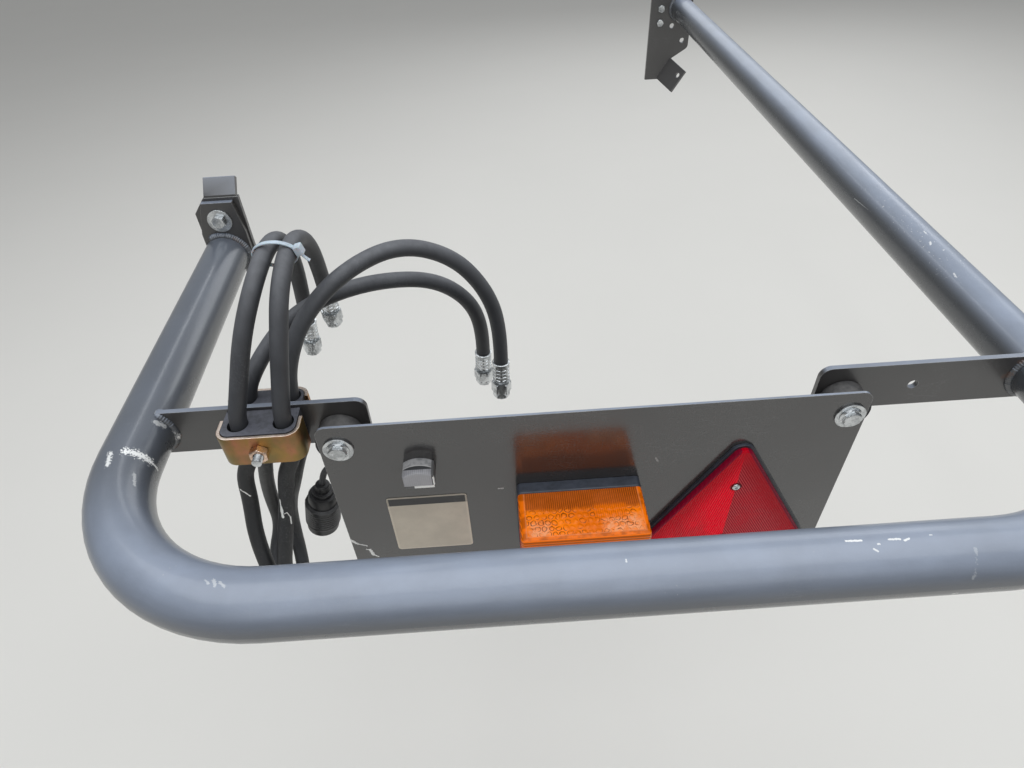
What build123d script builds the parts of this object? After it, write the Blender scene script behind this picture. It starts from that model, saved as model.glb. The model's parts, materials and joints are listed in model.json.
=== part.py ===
"""Rear guard hoop of a round baler with its light board, lamps and clamped hoses.

Row frame: +X to the right as seen from behind, +Y forward to the machine, +Z up, millimetres.
The numbers below are hoop millimetres: the cross bar's centre line is Y 0, Z 0, and X 0 lies 374 mm right of the left leg.
at() moves a point into the row frame, whose origin lies on the left bracket's forward face, where the machine holds it.
"""

import math
import os

from build123d import *

os.makedirs("parts", exist_ok=True)

# Bent guard tube
TUBE_R = 30.15
TUBE_WALL = 3.2
BEND_R = 170.0
LEFT_LEG = 565.0
LEFT_END_X = -386.0
LEFT_END = (LEFT_END_X, LEFT_LEG)
LEFT_CORNER = (-374.0, 0.0)
RIGHT_X = 570.0
RIGHT_LEG = 1780.0
RIGHT_CORNER = (RIGHT_X, 0.0)
RIGHT_END = (RIGHT_X, RIGHT_LEG)

# Plates at the two ends; corners, holes and bolts are offsets from the leg's centre line, the tab's from the bracket's face
PLATE_T = 8.0
LEFT_GAP = 0.7
BRACKET_T = 7.3
LEFT_PLATE_CORNERS = [(-26, -30), (36, -30), (36, 34), (30, 80), (-13, 80), (-26, 34)]
BRACKET_CORNERS = [(-28, -34), (38, -34), (38, 84), (-10, 84), (-28, 62)]
TAB_CORNERS = [(-7, 80), (0, 80), (0, 84), (17, 101), (12, 106), (-7, 87)]
TAB_FROM = -8.0
TAB_LONG = 44.0
END_BOLT_X = LEFT_END[0] + 6.0
END_BOLT_Z = 54.0
END_HOLE_R = 6.5
RIGHT_CORNERS = [(-86, 48), (-86, -188), (-49, -188), (-12, -131), (32, -104), (32, 48)]
RIGHT_ROUNDS = [(RIGHT_CORNERS[4], 14.0), (RIGHT_CORNERS[5], 10.0)]
RIGHT_HOLES = [(-21, -44), (13, -84)]
RIGHT_BOLTS = [(-57, -34), (-57, 2)]
FOOT_FROM = (1.0, 36.0)
FOOT_SIZE = (66.0, 80.0)
FOOT_HOLE = (22.0, 60.0)
FOOT_T = 6.0

# Where the machine's frame touches the left bracket: the row's origin in hoop millimetres
ORIGIN_X = END_BOLT_X
ORIGIN_Y = LEFT_END[1] + LEFT_GAP + PLATE_T + BRACKET_T
ORIGIN_Z = END_BOLT_Z - 34.0

# Lug plates welded to the legs, and the light board that hangs from them
LUG_Y = 210.0
LUG_T = 6.0
LUG_TOP = 24.5
LUG_LIP = 3.85
LUG_LOW = -(TUBE_R + LUG_LIP)
LUG_CORNER = 12.0
LUG_UNDER = 15.0
LUG_HOLE_R = 5.5
LUG_HOLE_X = 436.0
LUG_HOLE_Z = -5.0
WELD_GAP = 0.3
LEFT_LUG_TIP = -144.0
RIGHT_LUG_TIP = 331.0
BUFFER_R = 24.0
BOARD_Y = 182.0
BOARD_T = 3.0
BOARD_LEFT = -196.0
BOARD_RIGHT = 377.0
BOARD_TOP = 15.0
BOARD_LOW = -250.0
BOARD_CORNER = 12.0
BOLT_Z = -16.0
BOLT_X = {"left": -176.0, "right": 359.0}

# Hose clamps in front of and behind the left lug plate, on one long bolt
CLAMP_X = -249.0
CLAMP_Z = 1.0
CLAMP_D = {"front": 40.0, "rear": 28.0}
CLAMP_H = 38.0
BLOCK_H = 40.0
STRAP_T = 4.0
STRAP_CORNER = 14.0
STRAP_SHORT = 12.0
HOSE_R = 8.7
HOSE_HALF = 23.0
HOLE_R = 10.5
HOLE_SHIFT = 1.5
HOLE_WALL = 4.5
CLAMP_W = 2 * (HOSE_HALF + HOLE_R + HOLE_WALL + STRAP_T)

# Lamp, reflector, plate lamp and blank plate on the board
LAMP_LEFT = 6.0
LAMP_RIGHT = 144.5
LAMP_TOP = -91.0
LAMP_H = 100.0
LAMP_BASE_D = 15.0
LAMP_D = 78.0
LENS_INSET = 0.5
LENS_ROUND = 4.5
TRI_X = 254.0
TRI_TOP = -34.0
TRI_SIDE = 228.0
TRI_BASE_T = 4.0
TRI_RED_T = 6.0
TRI_SCREW_DROP = 77.0
TRI_SCREW_RISE = 24.0
TRIANGLES = [
    ("reflector_base", BOARD_Y, TRI_BASE_T, 0.0, 15.0),
    ("reflector_red", BOARD_Y - TRI_BASE_T, TRI_RED_T, 3.0, 12.0),
]
LENS_SPLIT = 51.5
LENSES = [
    ("lamp_lens_amber", -LENS_INSET, -LENS_SPLIT),
    ("lamp_lens_red", -LENS_SPLIT - 0.5, LENS_INSET - LAMP_H),
]
PL_LEFT = -113.0
PL_RIGHT = -80.0
PL_TOP = -38.0
PL_LOW = -60.0
PL_DEPTH = 21.0
SIGN_LEFT = -141.5
SIGN_RIGHT = -50.5
SIGN_TOP = -102.0
SIGN_LOW = -201.0
SIGN_T = 0.8

# Lamps' lead behind the board
LEAD_R = 3.7
LEAD_Y = 192.0

# M10 fasteners
HEX_AF = 17.0
HEX_H = 6.4
SHANK_R = 5.0
WASHER_T = 2.5
BOARD_WASHER_R = 16.0
END_WASHER_R = 16.5
NUT_H = 8.4
STUD_OUT = 17.0


def at(x, y, z):
    """Hoop millimetres to row millimetres."""
    return (x - ORIGIN_X, y - ORIGIN_Y, z - ORIGIN_Z)


def rear_view(y):
    """Upright plane at Y: local right is +X, local up is +Z, extrude goes rearward."""
    return Plane(origin=at(0, y, 0), x_dir=(1, 0, 0), z_dir=(0, -1, 0))


def plan(z):
    """Level plane at Z: local right is +X, local up is +Y, extrude goes up."""
    return Plane(origin=at(0, 0, z), x_dir=(1, 0, 0), z_dir=(0, 0, 1))


def across(x):
    """Upright plane at X: local right is +Y, local up is +Z, extrude goes to +X."""
    return Plane(origin=at(x, 0, 0), x_dir=(0, 1, 0), z_dir=(1, 0, 0))


def save(body, name):
    """Labels a body and writes its STEP file."""
    body.part.label = name
    export_step(body.part, "parts/" + name + ".step")


# Guard tube: one bent pipe with a short left leg, the cross bar and a long right leg
with BuildPart() as guard_tube:
    with BuildLine(plan(0)) as tube_path:
        FilletPolyline(LEFT_END, LEFT_CORNER, RIGHT_CORNER, RIGHT_END, radius=BEND_R)
    with BuildSketch(Plane(origin=tube_path.line @ 0, z_dir=tube_path.line % 0)):
        Circle(TUBE_R)
        Circle(TUBE_R - TUBE_WALL, mode=Mode.SUBTRACT)
    sweep()
save(guard_tube, "guard_tube")

# Left end plate, welded to the tube's end and narrower at the top
with BuildPart() as left_end_plate:
    with BuildSketch(rear_view(LEFT_END[1] + LEFT_GAP + PLATE_T)):
        with BuildLine():
            Polyline(*[(LEFT_END_X + x, z) for x, z in LEFT_PLATE_CORNERS], close=True)
        make_face()
        with Locations((END_BOLT_X, END_BOLT_Z)):
            Circle(END_HOLE_R, mode=Mode.SUBTRACT)
    extrude(amount=PLATE_T)
save(left_end_plate, "left_end_plate")

# Left bracket behind it, with a top tab bent forward
with BuildPart() as left_bracket:
    with BuildSketch(rear_view(ORIGIN_Y)):
        with BuildLine():
            Polyline(*[(LEFT_END_X + x, z) for x, z in BRACKET_CORNERS], close=True)
        make_face()
        with Locations((END_BOLT_X, END_BOLT_Z)):
            Circle(END_HOLE_R, mode=Mode.SUBTRACT)
    extrude(amount=BRACKET_T)
    with BuildSketch(across(LEFT_END_X + TAB_FROM)):
        with BuildLine():
            Polyline(*[(ORIGIN_Y + y, z) for y, z in TAB_CORNERS], close=True)
        make_face()
    extrude(amount=TAB_LONG)
    fillet(left_bracket.edges().filter_by(Axis.X).sort_by(Axis.Z)[-1:], radius=1.5)
save(left_bracket, "left_bracket")

# Right end plate, half behind the tube: two bolts, two open holes, a slanting lower edge with a bent foot
FOOT_CORNER = Vector(*at(RIGHT_X + RIGHT_CORNERS[3][0], RIGHT_END[1] + PLATE_T - FOOT_T, RIGHT_CORNERS[3][1]))
FOOT_ALONG = Vector(-0.544, 0, -0.839)
FOOT_OUT = Vector(0.42, -0.866, -0.272)
with BuildPart() as right_end_plate:
    with BuildSketch(rear_view(RIGHT_END[1] + PLATE_T)) as end_face:
        with BuildLine():
            Polyline(*[(RIGHT_X + x, z) for x, z in RIGHT_CORNERS], close=True)
        make_face()
        for (x, z), round_r in RIGHT_ROUNDS:
            fillet(end_face.vertices().sort_by_distance((RIGHT_X + x, z))[:1], radius=round_r)
        with Locations(*[(RIGHT_X + x, z) for x, z in RIGHT_HOLES]):
            Circle(END_HOLE_R, mode=Mode.SUBTRACT)
        with Locations(*[(RIGHT_X + x, z) for x, z in RIGHT_BOLTS]):
            Circle(SHANK_R + 0.3, mode=Mode.SUBTRACT)
    extrude(amount=PLATE_T)
    with BuildSketch(Plane(origin=FOOT_CORNER, x_dir=FOOT_ALONG, z_dir=FOOT_ALONG.cross(FOOT_OUT))):
        with Locations((FOOT_FROM[0] + FOOT_SIZE[0] / 2, FOOT_FROM[1])):
            Rectangle(*FOOT_SIZE)
        with Locations(FOOT_HOLE):
            Circle(END_HOLE_R, mode=Mode.SUBTRACT)
    extrude(amount=FOOT_T)
save(right_end_plate, "right_end_plate")

# Lug plates, cut to the legs' round
LUGS = {
    "left": (LEFT_CORNER[0] - LUG_UNDER, LEFT_LUG_TIP, BOLT_X["left"]),
    "right": (RIGHT_CORNER[0], RIGHT_LUG_TIP, BOLT_X["right"]),
}
LEG_LINE = {"left": (LEFT_CORNER, LEFT_END), "right": (RIGHT_CORNER, RIGHT_END)}
for name, (root_x, tip_x, bolt_x) in LUGS.items():
    foot, head = LEG_LINE[name]
    leg_dir = Vector(head[0] - foot[0], head[1] - foot[1], 0)
    with BuildPart() as lug_plate:
        with BuildSketch(rear_view(LUG_Y + LUG_T)) as lug_face:
            with Locations(((root_x + tip_x) / 2, (LUG_TOP + LUG_LOW) / 2)):
                Rectangle(abs(tip_x - root_x), LUG_TOP - LUG_LOW)
            far = lug_face.vertices().sort_by(Axis.X)
            tips = far[-2:] if name == "left" else far[:2]
            fillet(tips, radius=LUG_CORNER)
            with Locations((bolt_x, BOLT_Z)):
                Circle(SHANK_R + 0.3, mode=Mode.SUBTRACT)
            if name == "right":
                with Locations((LUG_HOLE_X, LUG_HOLE_Z)):
                    Circle(LUG_HOLE_R, mode=Mode.SUBTRACT)
            if name == "left":
                with Locations((CLAMP_X, CLAMP_Z)):
                    Circle(SHANK_R + 0.3, mode=Mode.SUBTRACT)
        extrude(amount=LUG_T)
        with BuildSketch(Plane(origin=at(foot[0], foot[1], 0), z_dir=leg_dir)):
            Circle(TUBE_R + WELD_GAP)
        extrude(amount=400, mode=Mode.SUBTRACT)
    save(lug_plate, "lug_plate_" + name)

    # Rubber buffer between lug plate and board
    with BuildPart() as buffer:
        with BuildSketch(rear_view(LUG_Y)):
            with Locations((bolt_x, BOLT_Z)):
                Circle(BUFFER_R)
                Circle(SHANK_R + 0.3, mode=Mode.SUBTRACT)
        extrude(amount=LUG_Y - BOARD_Y - BOARD_T)
        fillet(buffer.edges().filter_by(GeomType.CIRCLE).sort_by(SortBy.RADIUS)[-2:], radius=2)
    save(buffer, "buffer_" + name)

    # Board bolt and its large washer
    with BuildPart() as washer:
        with BuildSketch(rear_view(BOARD_Y)):
            with Locations((bolt_x, BOLT_Z)):
                Circle(BOARD_WASHER_R)
                Circle(SHANK_R + 0.3, mode=Mode.SUBTRACT)
        extrude(amount=WASHER_T)
    save(washer, "board_washer_" + name)
    with BuildPart() as bolt:
        with BuildSketch(rear_view(BOARD_Y - WASHER_T)):
            with Locations((bolt_x, BOLT_Z)):
                RegularPolygon(HEX_AF / 2, 6, major_radius=False)
        extrude(amount=HEX_H)
        with BuildSketch(rear_view(LUG_Y + LUG_T + NUT_H + 3)):
            with Locations((bolt_x, BOLT_Z)):
                Circle(SHANK_R)
        extrude(amount=LUG_Y + LUG_T + NUT_H + 3 - BOARD_Y + WASHER_T)
    save(bolt, "board_bolt_" + name)

# Light board
with BuildPart() as light_board:
    with BuildSketch(rear_view(BOARD_Y + BOARD_T)) as board_face:
        with Locations(((BOARD_LEFT + BOARD_RIGHT) / 2, (BOARD_TOP + BOARD_LOW) / 2)):
            RectangleRounded(BOARD_RIGHT - BOARD_LEFT, BOARD_TOP - BOARD_LOW, BOARD_CORNER)
        with Locations((BOLT_X["left"], BOLT_Z), (BOLT_X["right"], BOLT_Z)):
            Circle(SHANK_R + 0.3, mode=Mode.SUBTRACT)
    extrude(amount=BOARD_T)
save(light_board, "light_board")

# Lamp: black base, amber upper lens and red lower lens
LAMP_X = (LAMP_LEFT + LAMP_RIGHT) / 2
LAMP_W = LAMP_RIGHT - LAMP_LEFT
LAMP_MID = LAMP_TOP - LAMP_H / 2
LENS_FRONT = BOARD_Y - LAMP_BASE_D
with BuildPart() as lamp_base:
    with BuildSketch(rear_view(BOARD_Y)):
        with Locations((LAMP_X, LAMP_MID)):
            RectangleRounded(LAMP_W, LAMP_H, 6)
    extrude(amount=LAMP_BASE_D)
    chamfer(lamp_base.faces().sort_by(Axis.Y)[0].outer_wire().edges(), length=1.5)
save(lamp_base, "lamp_base")
for name, high, low in LENSES:
    with BuildPart() as lens:
        with BuildSketch(rear_view(LENS_FRONT)):
            with Locations((LAMP_X, LAMP_TOP + (high + low) / 2)):
                RectangleRounded(LAMP_W - 2 * LENS_INSET, high - low, 5)
        extrude(amount=LAMP_D - LAMP_BASE_D, taper=0.5)
        fillet(lens.faces().sort_by(Axis.Y)[0].outer_wire().edges(), radius=LENS_ROUND)
    save(lens, name)

# Triangular reflector: black base, red prism plate and two screws on its centre line
TRI_LOW = TRI_TOP - TRI_SIDE * math.sin(math.radians(60))
for name, y, thick, inset, cut in TRIANGLES:
    with BuildPart() as triangle:
        with BuildSketch(rear_view(y)) as tri_face:
            with BuildLine():
                Polyline(
                    (TRI_X, TRI_TOP - 2 * inset),
                    (TRI_X - TRI_SIDE / 2 + inset * math.sqrt(3), TRI_LOW + inset),
                    (TRI_X + TRI_SIDE / 2 - inset * math.sqrt(3), TRI_LOW + inset),
                    close=True,
                )
            make_face()
            fillet(tri_face.vertices(), radius=cut)
        extrude(amount=thick)
        if name == "reflector_red":
            chamfer(triangle.faces().sort_by(Axis.Y)[0].outer_wire().edges(), length=1.5)
    save(triangle, name)
for name, screw_z in (
    ("reflector_screw_high", TRI_TOP - TRI_SCREW_DROP),
    ("reflector_screw_low", TRI_LOW + TRI_SCREW_RISE),
):
    with BuildPart() as screw:
        with BuildSketch(rear_view(BOARD_Y - TRI_BASE_T - TRI_RED_T)):
            with Locations((TRI_X, screw_z)):
                Circle(4.5)
        extrude(amount=2.4)
        chamfer(screw.faces().sort_by(Axis.Y)[0].edges(), length=0.8)
    save(screw, name)

# Plate lamp: small block with an arched top and a clear lens under it
with BuildPart() as plate_lamp:
    with BuildSketch(rear_view(BOARD_Y)):
        with BuildLine():
            Polyline((PL_LEFT, PL_TOP - 6), (PL_LEFT, PL_LOW), (PL_RIGHT, PL_LOW), (PL_RIGHT, PL_TOP - 6))
            ThreePointArc((PL_RIGHT, PL_TOP - 6), ((PL_LEFT + PL_RIGHT) / 2, PL_TOP), (PL_LEFT, PL_TOP - 6))
        make_face()
    extrude(amount=PL_DEPTH)
    fillet(plate_lamp.faces().sort_by(Axis.Y)[0].outer_wire().edges(), radius=2)
save(plate_lamp, "plate_lamp")
with BuildPart() as plate_lamp_lens:
    with BuildSketch(rear_view(BOARD_Y)):
        with Locations(((PL_LEFT + PL_RIGHT) / 2, PL_LOW - 2.5)):
            Rectangle(PL_RIGHT - PL_LEFT - 2, 5)
    extrude(amount=PL_DEPTH - 2)
save(plate_lamp_lens, "plate_lamp_lens")

# Blank sign plate under it
with BuildPart() as blank_plate:
    with BuildSketch(rear_view(BOARD_Y)):
        with Locations(((SIGN_LEFT + SIGN_RIGHT) / 2, (SIGN_TOP + SIGN_LOW) / 2)):
            RectangleRounded(SIGN_RIGHT - SIGN_LEFT, SIGN_TOP - SIGN_LOW, 4)
    extrude(amount=SIGN_T)
save(blank_plate, "blank_plate")

# Hose clamps: rubber block with two holes inside a bent strap whose arms end short of the lug plate
HOSE_Y = {"front": LUG_Y - CLAMP_D["front"] / 2, "rear": LUG_Y + LUG_T + (CLAMP_D["rear"] - STRAP_T) / 2}
for name, face_y, sign in (("front", LUG_Y, -1.0), ("rear", LUG_Y + LUG_T, 1.0)):
    inner_w = CLAMP_W - 2 * STRAP_T
    inner_d = CLAMP_D[name] - STRAP_T
    hose_y = HOSE_Y[name]
    with BuildPart() as block:
        with BuildSketch(plan(CLAMP_Z - BLOCK_H / 2)) as block_face:
            with Locations((CLAMP_X, face_y + sign * inner_d / 2)):
                Rectangle(inner_w - 0.6, inner_d - 0.6)
            outer = block_face.vertices().sort_by(Axis.Y)
            fillet(outer[:2] if sign < 0 else outer[-2:], radius=STRAP_CORNER - STRAP_T)
            with Locations((CLAMP_X - HOSE_HALF + HOLE_SHIFT, hose_y), (CLAMP_X + HOSE_HALF + HOLE_SHIFT, hose_y)):
                Circle(HOLE_R, mode=Mode.SUBTRACT)
        extrude(amount=BLOCK_H)
        with BuildSketch(rear_view(LUG_Y + 60)):
            with Locations((CLAMP_X, CLAMP_Z)):
                Circle(SHANK_R + 0.3)
        extrude(amount=140, mode=Mode.SUBTRACT)
    save(block, "clamp_block_" + name)
    with BuildPart() as strap:
        with BuildSketch(plan(CLAMP_Z - CLAMP_H / 2)) as strap_face:
            with Locations((CLAMP_X, face_y + sign * (CLAMP_D[name] + STRAP_SHORT) / 2)):
                Rectangle(CLAMP_W, CLAMP_D[name] - STRAP_SHORT)
            outer = strap_face.vertices().sort_by(Axis.Y)
            fillet(outer[:2] if sign < 0 else outer[-2:], radius=STRAP_CORNER)
            with BuildSketch(plan(CLAMP_Z - CLAMP_H / 2), mode=Mode.SUBTRACT) as strap_hole:
                with Locations((CLAMP_X, face_y + sign * inner_d / 2)):
                    Rectangle(inner_w, inner_d)
                outer = strap_hole.vertices().sort_by(Axis.Y)
                fillet(outer[:2] if sign < 0 else outer[-2:], radius=STRAP_CORNER - STRAP_T)
        extrude(amount=CLAMP_H)
        with BuildSketch(rear_view(LUG_Y + 60)):
            with Locations((CLAMP_X, CLAMP_Z)):
                Circle(SHANK_R + 0.3)
        extrude(amount=140, mode=Mode.SUBTRACT)
    save(strap, "clamp_strap_" + name)

# Long clamp bolt with its head behind, and the nut in front
FRONT_Y = LUG_Y - CLAMP_D["front"]
REAR_Y = LUG_Y + LUG_T + CLAMP_D["rear"]
with BuildPart() as clamp_bolt:
    with BuildSketch(rear_view(REAR_Y + HEX_H)):
        with Locations((CLAMP_X, CLAMP_Z)):
            RegularPolygon(HEX_AF / 2, 6, major_radius=False)
    extrude(amount=HEX_H)
    with BuildSketch(rear_view(REAR_Y)):
        with Locations((CLAMP_X, CLAMP_Z)):
            Circle(SHANK_R)
    extrude(amount=REAR_Y - FRONT_Y + STUD_OUT)
    chamfer(clamp_bolt.faces().sort_by(Axis.Y)[0].edges(), length=1)
save(clamp_bolt, "clamp_bolt")

# Nuts: name, X, Z and the Y of their forward face
NUTS = [
    ("clamp_nut", CLAMP_X, CLAMP_Z, FRONT_Y),
    ("board_nut_left", BOLT_X["left"], BOLT_Z, LUG_Y + LUG_T + NUT_H),
    ("board_nut_right", BOLT_X["right"], BOLT_Z, LUG_Y + LUG_T + NUT_H),
]
for name, nut_x, nut_z, nut_y in NUTS:
    with BuildPart() as nut:
        with BuildSketch(rear_view(nut_y)):
            with Locations((nut_x, nut_z)):
                RegularPolygon(HEX_AF / 2, 6, major_radius=False)
                Circle(SHANK_R + 0.2, mode=Mode.SUBTRACT)
        extrude(amount=NUT_H)
    save(nut, name)

# Bolts at the two ends
with BuildPart() as end_bolt_left:
    with BuildSketch(rear_view(LEFT_END[1] + LEFT_GAP - WASHER_T)):
        with Locations((END_BOLT_X, END_BOLT_Z)):
            RegularPolygon(HEX_AF / 2, 6, major_radius=False)
    extrude(amount=HEX_H)
    with BuildSketch(rear_view(ORIGIN_Y - 1)):
        with Locations((END_BOLT_X, END_BOLT_Z)):
            Circle(SHANK_R)
    extrude(amount=ORIGIN_Y - 1 - LEFT_END[1] - LEFT_GAP + WASHER_T)
save(end_bolt_left, "end_bolt_left")
with BuildPart() as end_washer_left:
    with BuildSketch(rear_view(LEFT_END[1] + LEFT_GAP)):
        with Locations((END_BOLT_X, END_BOLT_Z)):
            Circle(END_WASHER_R)
            Circle(SHANK_R + 0.3, mode=Mode.SUBTRACT)
    extrude(amount=WASHER_T)
save(end_washer_left, "end_washer_left")
for name, (bolt_x, bolt_z) in zip(("end_bolt_right_low", "end_bolt_right_high"), RIGHT_BOLTS):
    with BuildPart() as end_bolt:
        with BuildSketch(rear_view(RIGHT_END[1])):
            with Locations((RIGHT_X + bolt_x, bolt_z)):
                RegularPolygon(HEX_AF / 2, 6, major_radius=False)
        extrude(amount=HEX_H)
        with BuildSketch(rear_view(RIGHT_END[1] + PLATE_T - 1)):
            with Locations((RIGHT_X + bolt_x, bolt_z)):
                Circle(SHANK_R)
        extrude(amount=PLATE_T - 1)
    save(end_bolt, name)


def cord_tube(name, points, radius):
    """Writes one cord as straight runs joined by tangent arcs, prints its radii and length, returns its end plane."""
    ends = [Vector(*at(*point)) for point in points]
    runs = [(b - a).length for a, b in zip(ends, ends[1:])]
    halves = [math.radians((b - a).get_angle(c - b)) / 2 for a, b, c in zip(ends, ends[1:], ends[2:])]
    radii = [0.45 * min(left, right) / math.tan(half) for left, right, half in zip(runs, runs[1:], halves)]
    with BuildPart() as cord:
        with BuildLine() as cord_path:
            FilletPolyline(*ends, radius=radii)
        with BuildSketch(Plane(origin=cord_path.line @ 0, z_dir=cord_path.line % 0)):
            Circle(radius)
        sweep()
    length = sum(edge.length for edge in cord_path.line.edges())
    share = cord.part.volume / (math.pi * radius * radius * length)
    print(name, "length", round(length), "share of its volume", round(share, 4), "radii", [round(r) for r in radii])
    save(cord, name)
    return Plane(origin=cord_path.line @ 1, z_dir=cord_path.line % 1)


# Hoses: over the top from the front clamp, under from clamp to clamp, and an arc to the right from the rear clamp
FRONT_HOSE_Y = HOSE_Y["front"]
REAR_HOSE_Y = HOSE_Y["rear"]
BLOCK_TOP = CLAMP_Z + BLOCK_H / 2
BLOCK_LOW = CLAMP_Z - BLOCK_H / 2
XA = CLAMP_X - HOSE_HALF
XB = CLAMP_X + HOSE_HALF
HOSES = {
    "hose_a_over": [
        (XA, FRONT_HOSE_Y, BLOCK_LOW),
        (XA, FRONT_HOSE_Y, 20),
        (-257, 194, 64),
        (-240, 204, 117),
        (-223, 226, 158),
        (-214, 272, 176),
        (-217, 322, 154),
        (-223, 356, 108),
        (-231, 374, 54),
        (-237, 380, 8),
    ],
    "hose_b_over": [
        (XB, FRONT_HOSE_Y, BLOCK_LOW),
        (XB, FRONT_HOSE_Y, 20),
        (-217, 194, 62),
        (-206, 204, 115),
        (-199, 226, 156),
        (-194, 272, 175),
        (-194, 320, 156),
        (-196, 350, 110),
        (-199, 360, 62),
    ],
    "hose_a_under": [
        (XA, FRONT_HOSE_Y, BLOCK_LOW),
        (XA, FRONT_HOSE_Y, -46),
        (-283, 181, -86),
        (-290, 163, -134),
        (-288, 145, -184),
        (-286, 137, -240),
        (-288, 156, -288),
        (-293, 205, -310),
        (-300, 253, -290),
        (-306, 272, -242),
        (-304, 265, -186),
        (-297, 249, -134),
        (-283, 232, -88),
        (XA, REAR_HOSE_Y, -46),
        (XA, REAR_HOSE_Y, BLOCK_LOW),
    ],
    "hose_b_under": [
        (XB, FRONT_HOSE_Y, BLOCK_LOW),
        (XB, FRONT_HOSE_Y, -46),
        (-241, 181, -88),
        (-255, 164, -136),
        (-263, 147, -186),
        (-264, 139, -244),
        (-262, 158, -294),
        (-264, 207, -317),
        (-268, 256, -298),
        (-273, 276, -250),
        (-270, 268, -192),
        (-258, 251, -138),
        (-240, 233, -90),
        (XB, REAR_HOSE_Y, -46),
        (XB, REAR_HOSE_Y, BLOCK_LOW),
    ],
    "hose_a_arc": [
        (XA, REAR_HOSE_Y, BLOCK_LOW),
        (XA, REAR_HOSE_Y, 22),
        (-252, 240, 58),
        (-222, 274, 84),
        (-180, 300, 96),
        (-126, 322, 96),
        (-72, 340, 82),
        (-36, 354, 44),
        (-22, 364, -6),
        (-24, 368, -50),
    ],
    "hose_b_arc": [
        (XB, REAR_HOSE_Y, BLOCK_LOW),
        (XB, REAR_HOSE_Y, 22),
        (-217, 237, 64),
        (-196, 257, 102),
        (-152, 281, 136),
        (-97, 304, 149),
        (-46, 320, 122),
        (-14, 330, 72),
        (0, 332, 16),
        (-2, 330, -36),
    ],
}
FITTINGS = {"hose_a_over": "a_over", "hose_b_over": "b_over", "hose_a_arc": "a_arc", "hose_b_arc": "b_arc"}
for name, points in HOSES.items():
    end_plane = cord_tube(name, points, HOSE_R)
    if name in FITTINGS:
        # Crimped sleeve, swivel nut and its closing plug
        with BuildPart() as fitting:
            with BuildSketch(end_plane):
                Circle(HOSE_R + 2)
            extrude(amount=26)
            with BuildSketch(end_plane.offset(26)):
                Circle(7)
            extrude(amount=5)
            with BuildSketch(end_plane.offset(31)):
                RegularPolygon(11, 6, major_radius=False)
            extrude(amount=15)
            with BuildSketch(end_plane.offset(46)):
                RegularPolygon(9.5, 6, major_radius=False)
            extrude(amount=8)
        save(fitting, "fitting_" + FITTINGS[name])

# Junction housing on the board's back, with a gland that the lamps' lead leaves to the left
with BuildPart() as lead_box:
    with BuildSketch(rear_view(BOARD_Y + BOARD_T + 18)):
        with Locations((64, -130)):
            RectangleRounded(52, 34, 5)
    extrude(amount=18)
    fillet(lead_box.faces().sort_by(Axis.Y)[-1].outer_wire().edges(), radius=2)
    with BuildSketch(across(26)):
        with Locations((LEAD_Y, -130)):
            Circle(7)
    extrude(amount=13)
save(lead_box, "lead_box")
LEAD = [
    (26, LEAD_Y, -130),
    (-20, LEAD_Y, -130),
    (-72, LEAD_Y - 0.6, -133),
    (-118, 196, -118),
    (-155, 201, -90),
    (-186, 207, -68),
    (-212, 212, -78),
    (-218, 213, -105),
]
plug_plane = cord_tube("lamp_lead", LEAD, LEAD_R)
with BuildPart() as lead_clip:
    with BuildSketch(across(-52)):
        with Locations((BOARD_Y + BOARD_T + 6.5, -131.6)):
            RectangleRounded(13, 15, 2)
        with Locations((LEAD_Y, -131.6)):
            Circle(LEAD_R + 0.6, mode=Mode.SUBTRACT)
    extrude(amount=9)
save(lead_clip, "lead_clip")

# Trailer plug hanging on the lead: radius and length of each turned step
PLUG_STEPS = [(8.5, 12.0), (12.0, 6.0), (17.0, 16.0), (21.0, 36.0), (19.0, 12.0)]
with BuildPart() as plug:
    reach = 0.0
    for step_r, step_l in PLUG_STEPS:
        with BuildSketch(plug_plane.offset(reach)):
            Circle(step_r)
        extrude(amount=step_l)
        reach = reach + step_l
    fillet(plug.edges().sort_by(Axis.Z)[:1], radius=3)
save(plug, "plug")
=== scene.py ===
"""Looks of the rear guard hoop of a round baler: paint, welds, clamps, hoses, lamps and the stage.

The part's frame in metres: +X right as seen from behind, +Y forward to the machine, +Z up.
Tables are in hoop millimetres: the cross bar's centre line is Y 0, Z 0. row() turns them into the part's frame.
"""

import json
import math
from functools import cached_property, reduce, wraps

import bmesh
import bpy
import numpy as np
from bpy.props import FloatProperty, FloatVectorProperty, PointerProperty
from mathutils import Matrix

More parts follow.
